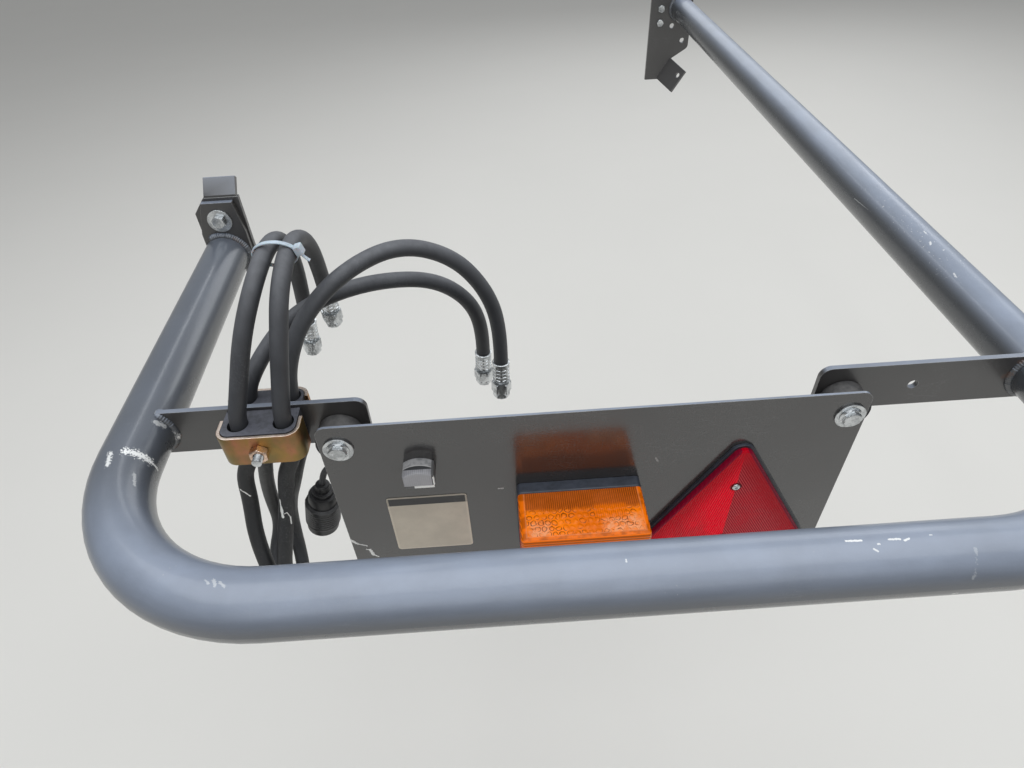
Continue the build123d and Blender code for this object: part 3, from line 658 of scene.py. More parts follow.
@material_maker
def hose_cover(net, table=(), share=1.0):
    """Satin black cover: cloth-wrap impression along it, grey scuffs on top and white scrape marks."""
    # A share below 1 is painted shade: the cover is darker and its top film thinner, for the hoses under the clamp.
    cover = shade(bpy.context.scene.hoop_hose.cover, share)
    colour = net.mottled(cover, 0.75, 1.35, 12.0, 5.0, 0.6, 0.3, 0.75)
    dust = net.shared("dust_and_sheen_film", Amount=0.6 * share, Scale=26.0, Lean=-0.3, Clouds=0.5)
    colour = net.blend(dust, colour, (0.17, 0.175, 0.192))
    colour = net.blend(net.shared("fine_scratch", Amount=0.3, Scale=44.0), colour, (0.2, 0.2, 0.2))
    if table:
        grain = net.less(net.noise(200.0, 3.0, 0.75), 0.5)
        colour = net.blend(scrapes(net, table, grain), colour, (0.78, 0.78, 0.75))
    wrap = net.noise(900.0, 3.0, 0.6, at=net.stretch((1.0, 1.0, 0.35)))
    net.coat(colour, net.uneven(0.42, 0.22, 60.0), wrap, 0.25, 0.0004, IOR=1.5)


@material_maker
def moulded(net, colour, roughness, grain, depth, dust=0.4, dust_sheen_colour=(0.22, 0.21, 0.2)):
    """Moulded rubber or plastic: fine grain, cloudy gloss, dust on top, tinted in places as a painted sheen, and greyed
    edges.
    """
    base = net.mottled(colour, 0.8, 1.25, 40.0, 5.0, 0.6, 0.3, 0.7)
    base = net.blend(net.shared("dust_and_sheen_film", Amount=dust, Scale=38.0, Lean=0.0), base, dust_sheen_colour)
    edge = net.shared("edge_wear_and_highlight", Amount=0.35, Scale=200.0, Radius=0.0012)
    base = net.blend(edge, base, shade(colour, 2.6, 0.02))
    net.coat(base, net.uneven(roughness, 0.2, 70.0), net.noise(grain, 3.0, 0.6), depth, 0.0003, IOR=1.5)


def black_moulding():
    """Black plastic of the lamp, the reflector and the lead's box, whose bluish film on top is dust and a painted
    sheen.
    """
    return moulded("black_moulding", (0.024, 0.027, 0.036), 0.3, 1200.0, 0.2, dust_sheen_colour=(0.11, 0.125, 0.16))


@material_maker
def zinc_plate(net, cast=(1.0, 1.0, 1.0)):
    """Bright zinc: cloudy dull patches, fine pits and grime. The cast tints it, as on a yellowed nut."""
    zinc = tuple(a * b for a, b in zip(bpy.context.scene.hoop_fasteners.zinc, cast))
    dull = net.shared("bloom", Scale=90.0)
    colour = net.blend(dull, zinc, shade(zinc, 0.6))
    colour = net.blend(net.mul(net.cloud(160.0, 5.0, 0.7, 0.6, 0.8), 0.6), colour, (0.2, 0.16, 0.11))
    net.coat(colour, net.plus(0.2, net.mul(dull, 0.2)), net.noise(1300.0, 3.0), 0.18, 0.0002, Metallic=1.0)


@material_maker
def yellow_zinc(net):
    """Yellow passivated zinc: gold running to pink and olive in drifts, grey worn edges, drawn lines."""
    drift = net.cloud(34.0, 4.0, 0.55, 0.44, 0.6, at=net.stretch((1.0, 1.0, 0.5)))
    colour = net.blend(drift, bpy.context.scene.hoop_fasteners.gold, (0.46, 0.2, 0.11))
    colour = net.blend(net.mul(net.cloud(21.0, 3.0, 0.5, 0.54, 0.7), 0.8), colour, (0.2, 0.165, 0.07))
    colour = net.blend(net.mul(net.cloud(240.0, 4.0, 0.7, 0.62, 0.74), 0.55), colour, (0.2, 0.12, 0.06))
    edge = net.shared("edge_wear_and_highlight", Amount=0.6, Scale=150.0, Radius=0.0016)
    colour = net.blend(edge, colour, (0.6, 0.52, 0.44))
    upright = net.ramp(net.calc("ABSOLUTE", net.split(net.face())[2]), 0.7, 0.95)
    cut = net.mul(upright, net.cloud(200.0, 4.0, 0.55, 0.25, 0.55, 0.5, 0.95))
    colour = net.blend(cut, colour, (0.7, 0.6, 0.53))
    lines = net.noise(40.0, 3.0, 0.5, at=net.stretch((3.0, 3.0, 60.0)))
    net.coat(colour, net.uneven(0.3, 0.24, 60.0), lines, 0.12, 0.0003, Metallic=1.0)


LENS_LEFT, LENS_RIGHT, LENS_BACK, LENS_FRONT, LENS_TOP = 6.0, 144.5, 167.0, 104.0, -91.5


def patch(net, x, y, soft):
    """Mask of an upright box with those X and Y limits, its edges softened over soft, all in hoop millimetres."""
    sides = []
    for axis, (low, high) in enumerate((x, y)):
        low, high, ease = level(axis, low), level(axis, high), soft * MM
        sides += [net.ramp(net.axes[axis], low - ease, low + ease), net.ramp(net.axes[axis], high + ease, high - ease)]
    return net.mul(*sides)


@material_maker
def lens(net, colour, painted_glare):
    """Clear coloured lens, drawn opaque with its light and shade painted on: flutes over its back half, painted darker
    as shade, rows of bubbles towards the front with painted dark rims and painted glints at their middles, a plain wall
    round them, also painted darker as shade, level ridges on its front face, a painted light patch over the flutes, and
    pale drifts of painted reflection under the clear skin."""

    def tint(share, lift=0.0):
        return shade(colour, share, lift)

    inside = patch(net, (LENS_LEFT + 8, LENS_RIGHT - 7), (LENS_FRONT + 6.5, LENS_BACK + 5), 0.5)
    top = net.span(2, LENS_TOP - 1.6, LENS_TOP - 1.0)
    wander = net.mul(net.less(net.noise(90.0, 3.0, 0.6), 0.5), 0.012)
    back = net.ramp(net.plus(net.axes[1], wander), level(1, 139), level(1, 146))
    sway = net.split(net.noise(120.0, 2.0, 0.5, 1))
    across, shift = (net.mul(net.less(part, 0.5), 0.0065) for part in (sway[0], sway[1]))
    across, along = net.plus(net.axes[0], across), net.plus(net.axes[1], net.axes[2], shift)
    bubble = net.shared("bubbles", Across=across, Along=along, Pitch=bpy.context.scene.hoop_lamps.dimple)
    flute = net.shared("ribs", Direction=(1.0, 0.0, 0.0), Pitch=0.00225)
    ridge = net.shared("ribs", Direction=(0.0, 0.35, 1.0), Pitch=0.0036)
    front = net.blend(net.cloud(34.0, 3.0, 0.6, 0.36, 0.66), tint(0.84), tint(1.2))
    # Painted reflection: pale patches on the bubbled front.
    pale = net.top(patch(net, (17, 38), (108, 128), 4.0), patch(net, (96, 136), (108, 130), 5.0))
    front = net.blend(net.mul(pale, net.cloud(170.0, 3.0, 0.6, 0.4, 0.56, 0.3, 0.85)), front, painted_glare)
    # Painted shade: dark rims round the bubbles.
    rim = net.mul(net.ramp(bubble, 0.03, 0.14), net.ramp(bubble, 0.5, 0.24))
    rim = net.mul(rim, net.cloud(75.0, 2.0, 0.6, 0.42, 0.58, 0.05, 1.0))
    front = net.blend(rim, front, tint(0.2, 0.004))
    pits = net.mul(net.cloud(420.0, 2.0, 0.6, 0.6, 0.68), net.cloud(50.0, 2.0, 0.55, 0.5, 0.6))
    front = net.blend(net.mul(pits, 0.7), front, tint(0.3))
    # Painted glints at the bubbles' middles.
    front = net.blend(net.mul(net.ramp(bubble, 0.7, 0.95), 0.35), front, tint(1.2, 0.03))
    # Painted shade: the fluted back half is darker.
    fluted = net.blend(flute, tint(0.27, 0.002), tint(0.64, 0.008))
    fluted = net.blend(net.cloud(24.0, 3.0, 0.55, 0.42, 0.62, 0.0, 0.45), fluted, tint(0.62, 0.02))
    # Painted light: a lighter patch over the flutes.
    lit = net.mul(patch(net, (88, 122), (128, 146), 3.0), 0.85)
    middle = net.blend(lit, net.blend(back, front, fluted), net.blend(flute, tint(0.72), tint(1.0)))
    # Painted shade: the wall is darker, with a band of painted reflection along its inner edge.
    wall = net.blend(net.cloud(70.0, 3.0, 0.55, 0.4, 0.6), tint(0.55), tint(0.95))
    edge = patch(net, (LENS_LEFT + 6.6, LENS_RIGHT - 5.6), (LENS_FRONT + 5.2, LENS_BACK + 5), 0.4)
    wall = net.blend(net.mul(edge, 0.28), wall, painted_glare)
    base = net.blend(top, net.blend(ridge, tint(0.5), tint(1.05)), net.blend(inside, wall, middle))
    height = net.mix(top, ridge, net.mul(net.mix(back, bubble, flute), inside))
    net.coat(base, net.uneven(0.16, 0.1, 90.0, 3.0), height, 0.6, 0.0011, IOR=1.5, Specular_IOR_Level=0.15,
             Coat_Weight=0.06, Coat_Roughness=0.05)


TRI_MID_X, TRI_MID_Z = 254.0, -165.6
SCREW_Z = {"high": -111.0, "low": -207.45}


@material_maker
def prism_red(net):
    """Reflector: two fields split on its upright axis, in painted light. The left one is painted bright with nearly
    upright ribs, the right one painted dark with pale ribs along its edge and lighter towards the apex. Each screw has
    a dark ring round it, the painted shadow of a recess, and the red glows faintly, a painted glow."""
    look = bpy.context.scene.hoop_lamps
    red, slope = look.red, math.radians(30)
    x, z = net.less(net.axes[0], level(0, TRI_MID_X)), net.less(net.axes[2], level(2, TRI_MID_Z))
    right = net.ramp(x, -0.0006, 0.0006)

    def ribbed(degrees, pitch):
        lean = math.radians(degrees)
        return net.shared("ribs", Direction=(math.cos(lean), 0.0, math.sin(lean)), Pitch=pitch)

    steep, slanted, fine = ribbed(-11, look.rib * 1.1), ribbed(30, look.rib), ribbed(150, look.rib * 0.8)
    drift = net.cloud(30.0, 3.0, 0.55, 0.4, 0.62)
    low = net.ramp(net.plus(z, net.mul(x, 0.9)), 0.02, -0.09)
    # Painted light: the left field is bright, the right field dark.
    bright = net.blend(steep, shade(red, 0.55), shade(red, 0.92))
    dim = net.blend(steep, (0.2, 0.004, 0.01), (0.5, 0.025, 0.03))
    bright = net.blend(net.mul(low, drift, 0.75), bright, dim)
    dark = net.blend(net.calc("POWER", slanted, 2.2), (0.22, 0.001, 0.01), (0.5, 0.06, 0.065))
    dark = net.blend(net.mul(drift, 0.4), dark, (0.42, 0.003, 0.014))
    dark = net.blend(net.mul(net.ramp(z, 0.085, 0.115), 0.7), dark, shade(red, 0.8))
    colour = net.blend(right, bright, dark)
    edge = net.plus(net.mul(z, 0.5), net.mul(net.calc("ABSOLUTE", x), math.cos(slope)))
    colour = net.blend(net.mul(net.ramp(edge, 0.03, 0.057), 0.75), colour, shade(red, 0.3))
    colour = net.blend(net.mul(net.ramp(edge, 0.0588, 0.06), 0.7), colour, (0.07, 0.004, 0.02))
    # Painted shadow: a dark ring round each screw.
    for height in SCREW_Z.values():
        away = net.less(net.axes[2], level(2, height))
        reach = net.calc("SQRT", net.plus(net.mul(x, x), net.mul(away, away)))
        colour = net.blend(net.mul(net.ramp(reach, 0.0074, 0.006), 0.85), colour, (0.035, 0.003, 0.004))
    prisms = net.plus(net.mix(right, steep, slanted), net.mul(fine, 0.4))
    # Painted glow: the faint emission, though the reflector is no lamp.
    net.coat(colour, net.uneven(0.2, 0.12, 80.0, 3.0), prisms, 0.35, 0.0008, IOR=1.5, Specular_IOR_Level=0.06,
             Emission_Color=colour, Emission_Strength=0.2)


SIGN_X, SIGN_TOP, SIGN_LOW = -96, -102, -199


@material_maker
def sign_face(net):
    """Blank sign foil: beige-grey with a dark band across its top, faint dirt and a few rubs."""
    face = bpy.context.scene.hoop_lamps.sign
    colour = net.mottled(face, 0.9, 1.08, 26.0, 5.0, 0.6, 0.3, 0.75)
    band = net.span(2, SIGN_TOP - 14.2, SIGN_TOP - 13.8)
    colour = net.blend(band, colour, (0.03, 0.03, 0.031))
    edge = net.span(2, SIGN_TOP - 2.2, SIGN_TOP - 1.8)
    colour = net.blend(net.mul(edge, 0.8), colour, shade(face, 0.9))
    side = net.ramp(net.calc("ABSOLUTE", net.less(net.axes[0], level(0, SIGN_X))), 0.0432, 0.0436)
    border = net.top(side, net.span(2, SIGN_LOW, SIGN_LOW - 0.5))
    colour = net.blend(net.mul(border, 0.5), colour, shade(face, 1.3))
    colour = net.blend(net.shared("fine_scratch", Amount=0.25, Scale=50.0), colour, (0.6, 0.58, 0.54))
    net.coat(colour, net.uneven(0.3, 0.25, 120.0), net.noise(500.0, 3.0), 0.08, 0.0003, IOR=1.48)


HOOD_EDGE, HOOD_END_Z, HOOD_FRONT = 171.0, -44.0, 161.0
CAP_LEFT, CAP_RIGHT = -102.0, -80.0
HOOD_SLOPE = 0.865


@material_maker
def lamp_housing(net):
    """Plate lamp: a pale hood that ends in an arch, with a painted highlight along its edge, a dark crescent under it
    that is a painted shadow, and a ribbed box in front whose front face is brightened as painted light. A painted glint
    runs low down its right side. The crescent's lower edge is where Y plus HOOD_SLOPE times Z is as at the arch's ends,
    which the camera sees level."""
    edge = level(1, HOOD_EDGE)
    cloud = net.cloud(150.0, 4.0, 0.6, 0.35, 0.65)
    hood = net.blend(cloud, (0.19, 0.19, 0.192), (0.33, 0.325, 0.325))
    # Painted highlight along the hood's edge.
    hood = net.blend(net.span(1, HOOD_EDGE + 1.6, HOOD_EDGE + 0.8), hood, (0.42, 0.41, 0.4))
    lines = net.shared("ribs", Direction=(1.0, 0.0, 0.0), Pitch=0.0021)
    box = net.blend(lines, (0.185, 0.182, 0.192), (0.255, 0.25, 0.265))
    box = net.blend(net.mul(cloud, 0.4), box, (0.34, 0.335, 0.34))
    # Painted light: the front face is brightened.
    face = net.span(1, HOOD_FRONT + 0.6, HOOD_FRONT + 0.2)
    box = net.blend(net.mul(face, 0.45), box, (0.5, 0.49, 0.51))
    # Painted shadow: the dark crescent under the hood.
    bound = edge + HOOD_SLOPE * level(2, HOOD_END_Z)
    shadow_crescent = net.ramp(net.plus(net.axes[1], net.mul(net.axes[2], HOOD_SLOPE)), bound + 0.0004, bound - 0.0004)
    front = net.blend(shadow_crescent, (0.03, 0.031, 0.033), box)
    colour = net.blend(net.span(1, HOOD_EDGE + 0.3, HOOD_EDGE - 0.3), hood, front)
    colour = net.blend(net.span(0, CAP_RIGHT - 2.6, CAP_RIGHT - 2.2), colour, (0.09, 0.09, 0.09))
    glint = net.mul(net.span(2, -45.6, -46.4), net.span(0, CAP_RIGHT - 1.5, CAP_RIGHT - 1.1))
    glint = net.mul(glint, net.span(1, HOOD_EDGE - 6.0, HOOD_EDGE - 7.0))
    colour = net.blend(glint, colour, (0.95, 0.95, 0.92))
    net.coat(colour, net.uneven(0.42, 0.2, 70.0), net.noise(1000.0, 3.0, 0.6), 0.25, 0.0003, IOR=1.5)


@material_maker
def clear_cap(net):
    """Frosted clear plastic of the plate lamp's window, painted near white as a glint. Its left end lies in the
    housing's shade.
    """
    tone = net.cloud(90.0, 4.0, 0.55, 0.3, 0.7)
    colour = net.blend(tone, (0.8, 0.81, 0.8), (0.95, 0.95, 0.92))
    colour = net.blend(net.span(0, CAP_LEFT - 0.6, CAP_LEFT), (0.04, 0.042, 0.045), colour)
    wave = net.shared("ribs", Direction=(1.0, 0.0, 0.0), Pitch=0.0016)
    net.coat(colour, net.plus(0.2, net.mul(tone, 0.15)), wave, 0.4, 0.0006, IOR=1.49, Coat_Weight=0.8)


@material_maker
def tie_plastic(net):
    """Pale grey nylon, a little cloudy and soiled."""
    pale = bpy.context.scene.hoop_hose.tie
    tone = net.cloud(120.0, 4.0, 0.55, 0.3, 0.7)
    colour = net.blend(tone, shade(pale, 0.85), shade(pale, 1.08))
    colour = net.blend(net.cloud(400.0, 3.0, 0.55, 0.62, 0.75), colour, (0.3, 0.3, 0.3))
    rough = net.plus(0.3, net.mul(tone, 0.15))
    net.coat(colour, rough, net.noise(1500.0, 2.0), 0.2, 0.0002, IOR=1.53, Subsurface_Weight=0.1)


@material_maker
def pale_floor(net):
    """Even pale floor."""
    floor = bpy.context.scene.hoop_stage.floor
    colour = net.blend(net.noise(3.0), shade(floor, 0.97), floor)
    net.drive(Roughness=0.9, Specular_IOR_Level=0.2, Base_Color=colour)


# ---- Routes of the cords: control points in hoop millimetres. The two lower hoses are up to 30 mm off the solids' line

FRONT_Y, REAR_Y = 190.0, 228.0
LOW_Z = -19.0
XA, XB = -272.0, -226.0
ROUTES = {
    "hose_a_over": [
        (XA, FRONT_Y, LOW_Z), (XA, FRONT_Y, 20), (-257, 194, 64), (-240, 204, 117), (-223, 226, 158),
        (-214, 272, 176), (-217, 322, 154), (-223, 356, 108), (-231, 374, 54), (-237, 380, 8),
    ],
    "hose_b_over": [
        (XB, FRONT_Y, LOW_Z), (XB, FRONT_Y, 20), (-217, 194, 62), (-206, 204, 115), (-199, 226, 156),
        (-194, 272, 175), (-194, 320, 156), (-196, 350, 110), (-199, 360, 62),
    ],
    "hose_a_under": [
        (XA, FRONT_Y, LOW_Z), (-274, 190, -31), (-287, 189, -54), (-290, 184, -90), (-293, 166, -135),
        (-286, 147, -190), (-286, 138, -247), (-294, 159, -291), (-312, 201, -306), (-330, 242, -284),
        (-317, 270, -248), (-314, 268, -193), (-300, 251, -135), (-284, 235, -86),
        (XA, REAR_Y, -47), (XA, REAR_Y, LOW_Z),
    ],
    "hose_b_under": [
        (XB, FRONT_Y, LOW_Z), (-228, 190, -31), (-242, 187, -53), (-248, 178, -89), (-258, 161, -132),
        (-269, 144, -181), (-266, 138, -238), (-270, 151, -289), (-284, 191, -314), (-295, 241, -301),
        (-300, 271, -237), (-286, 261, -186), (-265, 245, -136), (-246, 234, -86),
        (-227, REAR_Y, -45), (XB, REAR_Y, LOW_Z),
    ],
    "hose_a_arc": [
        (XA, REAR_Y, LOW_Z), (XA, REAR_Y, 22), (-252, 240, 58), (-222, 274, 84), (-180, 300, 96),
        (-126, 322, 96), (-72, 340, 82), (-36, 354, 44), (-22, 364, -6), (-24, 368, -50),
    ],
    "hose_b_arc": [
        (XB, REAR_Y, LOW_Z), (XB, REAR_Y, 22), (-217, 237, 64), (-196, 257, 102), (-152, 281, 136),
        (-97, 304, 149), (-46, 320, 122), (-14, 330, 72), (0, 332, 16), (-2, 330, -36),
    ],
    "lamp_lead": [
        (26, 192, -130), (-20, 192, -130), (-72, 191.4, -133), (-118, 196, -118), (-155, 201, -90),
        (-186, 207, -68), (-212, 212, -78), (-218, 213, -105),
    ],
}
FAR_ENDS = {
    "hose_a_over": ("fitting", "fitting_a_over"), "hose_b_over": ("fitting", "fitting_b_over"),
    "hose_a_under": ("object", None), "hose_b_under": ("object", None),
    "hose_a_arc": ("fitting", "fitting_a_arc"), "hose_b_arc": ("fitting", "fitting_b_arc"),
}


def run_curve(name, diameter, material):
    """One open spline of order 3 with the route's points as control points, thickened to the cord's diameter."""
    curve = bpy.data.curves.new(name + "_run", "CURVE")
    curve.dimensions = "3D"
    curve.bevel_depth = diameter / 2
    curve.bevel_resolution = 8
    curve.resolution_u = 14
    curve.use_fill_caps = True
    spline = curve.splines.new("NURBS")
    points = row(ROUTES[name])
    spline.points.add(len(points) - 1)
    spline.points.foreach_set("co", np.c_[points, np.ones(len(points))].ravel())
    spline.order_u = 3
    spline.use_endpoint_u = True
    return enter(name + "_run", curve, material, (name,))


def end_of(name):
    """Last point of a route and the direction in which it leaves, in the part's frame."""
    points = row(ROUTES[name])
    return points[-1], points[-1] - points[-2]


def middle_line(piece):
    """Points of a cord's own smooth line, read from its spline with no thickness."""
    bare = piece.data.copy()
    bare.bevel_depth = 0.0
    holder = bpy.data.objects.new("route_reader", bare)
    bpy.context.scene.collection.objects.link(holder)
    mesh = bpy.data.meshes.new_from_object(holder)
    points = np.empty(len(mesh.vertices) * 3)
    mesh.vertices.foreach_get("co", points)
    bpy.data.objects.remove(holder)
    bpy.data.curves.remove(bare)
    bpy.data.meshes.remove(mesh)
    return points.reshape(-1, 3)


# ---- Turned pieces

BACK, FORWARD = np.array((0.0, -1.0, 0.0)), np.array((0.0, 1.0, 0.0))
CLAMP_X, CLAMP_Z = -249.0, 1.0
HEAD_HEIGHT, NUT_HEIGHT, NUT_BORE, THREAD_RADIUS = 6.4 * MM, 8.4 * MM, 5.2 * MM, 4.95 * MM
CHAMFER = 0.55  # height over width of the cone that rounds a hexagon's corners
# Node, start, axis of the head, first and last height of the thread, turn of the flats, radius of the collar
BOLTS = (
    ("board_bolt_left", (-176, 179.5, -16), BACK, 1.0, 47.8, 0.2, 11.8),
    ("board_bolt_right", (359, 179.5, -16), BACK, 1.0, 47.8, 0.55, 11.8),
    ("clamp_bolt", (CLAMP_X, 244, CLAMP_Z), FORWARD, 0.5, 90.8, 0.3, 0.0),
    ("end_bolt_left", (-380, 563.2, 54), BACK, 0.5, 16.0, 0.35, 0.0),
    ("end_bolt_right_low", (513, 1780, -34), BACK, 0.5, 6.8, 0.1, 0.0),
    ("end_bolt_right_high", (513, 1780, 2), BACK, 0.5, 6.8, 0.4, 0.0),
)
# Node, start, outer radius
WASHERS = (
    ("board_washer_left", (-176, 182, -16), 16.0),
    ("board_washer_right", (359, 182, -16), 16.0),
    ("end_washer_left", (-380, 565.7, 54), 16.5),
)
SCREW_LEVELS = (
    (0, 0), (0, 4.5), (0.6, 4.6), (1.2, 4.35), (1.7, 3.7), (2.05, 2.9), (2.1, 2.2), (1.9, 1.8), (0.7, 1.6), (0.5, 0),
)


def hex_head(start, axis, apothem, turn, collar):
    """Bolt head: washer face or a sloping collar, six flats, and a cone that cuts the top corners to a round."""
    cap = apothem / math.cos(math.pi / 6)
    drop = cap - 0.93 * apothem
    levels = [(0, 0), (0, 0.95 * apothem), (0.4 * MM, 0.95 * apothem), (0.4 * MM, apothem, 6, cap)]
    if collar:
        levels = [(0, 0), (0, collar - 0.3 * MM), (0.5 * MM, collar), (0.9 * MM, collar)]
        levels += [(2.2 * MM, cap + 0.2 * MM), (2.3 * MM, apothem, 6, cap)]
    levels += [(HEAD_HEIGHT - s * drop * CHAMFER, apothem, 6, cap - (1 - s) * drop) for s in np.linspace(1, 0, 7)]
    dish = HEAD_HEIGHT - 0.2 * MM
    levels += [(HEAD_HEIGHT, 0.9 * apothem), (dish, 0.82 * apothem), (dish, 0)]
    return turned(levels, start, axis, 96, turn=turn)


def hex_nut(start, axis, apothem, turn):
    """Nut: a closed ring with both faces chamfered to a round and a countersunk bore."""
    cap = apothem / math.cos(math.pi / 6)
    drop = cap - 0.94 * apothem
    low = [(s * drop * CHAMFER, apothem, 6, cap - (1 - s) * drop) for s in np.linspace(0, 1, 6)]
    high = [(NUT_HEIGHT - height, *rest) for height, *rest in low[::-1]]
    sink = 0.6 * MM
    bore = [(NUT_HEIGHT, NUT_BORE + sink), (NUT_HEIGHT - sink, NUT_BORE), (sink, NUT_BORE)]
    return turned([(0, NUT_BORE + sink), *low, *high, *bore], start, axis, 96, closed=True, turn=turn)


def washer(start, axis, outer, inner=5.3, height=2.5, edge=0.3):
    """Flat ring with broken edges."""
    rim = [(edge, outer), (height - edge, outer)]
    levels = [(0, inner), (0, outer - edge), *rim, (height, outer - edge), (height, inner)]
    return turned(levels, start, axis, closed=True, unit=MM)


def joined(*surfaces):
    """Several surfaces as one set of points and faces."""
    points, faces, base = [], [], 0
    for p, f in surfaces:
        p = np.asarray(p).reshape(-1, 3)
        points.append(p)
        faces += [[i + base for i in face] for face in as_lists(f)]
        base += len(p)
    return np.concatenate(points), faces


def ridges(count, first, step, profile):
    """Levels of a profile, as (height, radius), repeated along the axis."""
    return [(first + step * k + height, radius) for k in range(count) for height, radius in profile]


def hose_fitting(node, start, axis, material):
    """Crimped sleeve with eight pressed flats between round lips, a neck, a swivel nut and its closing plug."""
    levels = [(0.2, 0), (0.2, 9.6), (0.8, 10.6), (3.4, 10.7)]
    for low in (4 + 5.2 * k for k in range(4)):
        levels += [(low, 9.7, 8, 10.3), (low + 4.4, 9.7, 8, 10.3), (low + 4.8, 10.4)]
    levels += [(25.4, 10.7), (26, 9.8), (26.2, 7), (31, 7), (31, 11, 6, 11.2), (32.2, 11, 6, 12.5), (44.8, 11, 6, 12.5)]
    levels += [(46, 11, 6, 11.2), (46, 8), (47, 8), (47, 9.5, 6, 9.6), (48, 9.5, 6, 10.7), (53, 9.5, 6, 10.7)]
    surface = turned(levels + [(54, 9.5, 6, 9.4), (54, 0)], start, axis, 96, unit=MM)
    return add_piece(node + "_crimped", surface, material, (node,), 28.0)


def lead_gland(material):
    """Gland: an octagon against the box, then a boot whose rings get narrower step by step."""
    levels = [(-2, 0), (-2, 7.4), (3, 7.4, 8, 8.2), (7, 7.4, 8, 8.2)]
    for k in range(6):
        low, radius = 3.4 * k, 6.9 - 0.42 * k
        levels += [(8 + low, radius), (10 + low, radius), (10.5 + low, radius - 0.9)]
    levels += [(29.5, 4.4), (30, 3.8), (30, 0)]
    surface = turned(levels, row(ROUTES["lamp_lead"][0]), (-1.0, 0.0, 0.0), 48, unit=MM)
    return add_piece("lead_gland", surface, material)


def ribbed_plug(material):
    """Plug: a ringed boot, a shoulder, a twelve-sided grip, ribs and an open collar round a sunk face."""
    levels = [(0.2, 0), (0.2, 6.2), (1.0, 7.6)] + ridges(4, 2.0, 2.4, ((0.0, 8.3), (1.3, 8.3), (1.6, 7.1), (2.2, 7.1)))
    levels += [(12.4, 11.6), (17.6, 11.9), (18, 15.4), (21, 16.9), (33, 17), (34.6, 20.4, 12, 21), (36, 20.4, 12, 21)]
    levels += ridges(7, 37.0, 4.2, ((0.0, 20.9), (2.7, 20.9), (3.1, 20.1), (3.9, 20.1)))
    levels += [(68, 20.9), (69.6, 20.4), (70.2, 18.9), (81, 18.9), (81.9, 18), (81.9, 16.2), (74, 16), (74, 0)]
    surface = turned(levels, *end_of("lamp_lead"), unit=MM)
    return add_piece("plug_ribbed", surface, material, ("plug",), 30.0)


# ---- Operators: one for each piece or group of like pieces


class HOOP_OT_camera(bpy.types.Operator):
    """Places the camera behind and above the hoop"""

    bl_idname = "hoop.camera"
    bl_label = "Camera"

    def execute(self, context):
        look = context.scene.hoop_stage
        turns = ((look.yaw, "Z"), (90 - look.pitch, "X"), (look.roll, "Z"))
        swing, tip, bank = (Matrix.Rotation(math.radians(angle), 4, axis) for angle, axis in turns)
        data = bpy.data.cameras.new("hoop_camera")
        data.sensor_width = 36.0
        data.sensor_fit = "HORIZONTAL"
        data.lens = look.focal
        data.clip_start, data.clip_end = 0.02, 60.0
        camera = bpy.data.objects.new("hoop_camera", data)
        camera.matrix_world = Matrix.Translation(tuple(row((0.0, -289.99, 486.37)))) @ swing @ tip @ bank
        context.scene.collection.objects.link(camera)
        context.scene.camera = camera
        return {"FINISHED"}


class HOOP_OT_hoses(bpy.types.Operator):
    """Runs the hydraulic hoses and closes their free ends with fittings"""

    bl_idname = "hoop.hoses"
    bl_label = "Hoses"

    def execute(self, context):
        look = context.scene.hoop_hose
        # The hoses under the clamp take a darkened cover, a painted shade.
        plain, scraped_shaded = hose_cover("hose_cover"), hose_cover("hose_cover_marked", HOSE_SCRAPES, 0.28)
        for name, (far_end, fitting) in FAR_ENDS.items():
            run = run_curve(name, look.diameter, scraped_shaded if "under" in name else plain)
            pieces = [hose_fitting(fitting, *end_of(name), zinc_plate("bright_zinc"))] if fitting else []
        return {"FINISHED"}


class HOOP_OT_lead(bpy.types.Operator):
    """Runs the lamps' lead behind the board, with its gland and the hanging plug"""

    bl_idname = "hoop.lead"
    bl_label = "Lamp lead and plug"

    def execute(self, context):
        look = context.scene.hoop_hose
        run = run_curve("lamp_lead", look.lead, hose_cover("hose_cover"))
        gland = lead_gland(black_moulding())
        plug = ribbed_plug(moulded("plug_moulding", (0.012, 0.012, 0.013), 0.28, 900.0, 0.25, dust=0.12))
        softened("lead_box", 0.0009, black_moulding())
        softened("lead_clip", 0.0006, black_moulding())
        return {"FINISHED"}


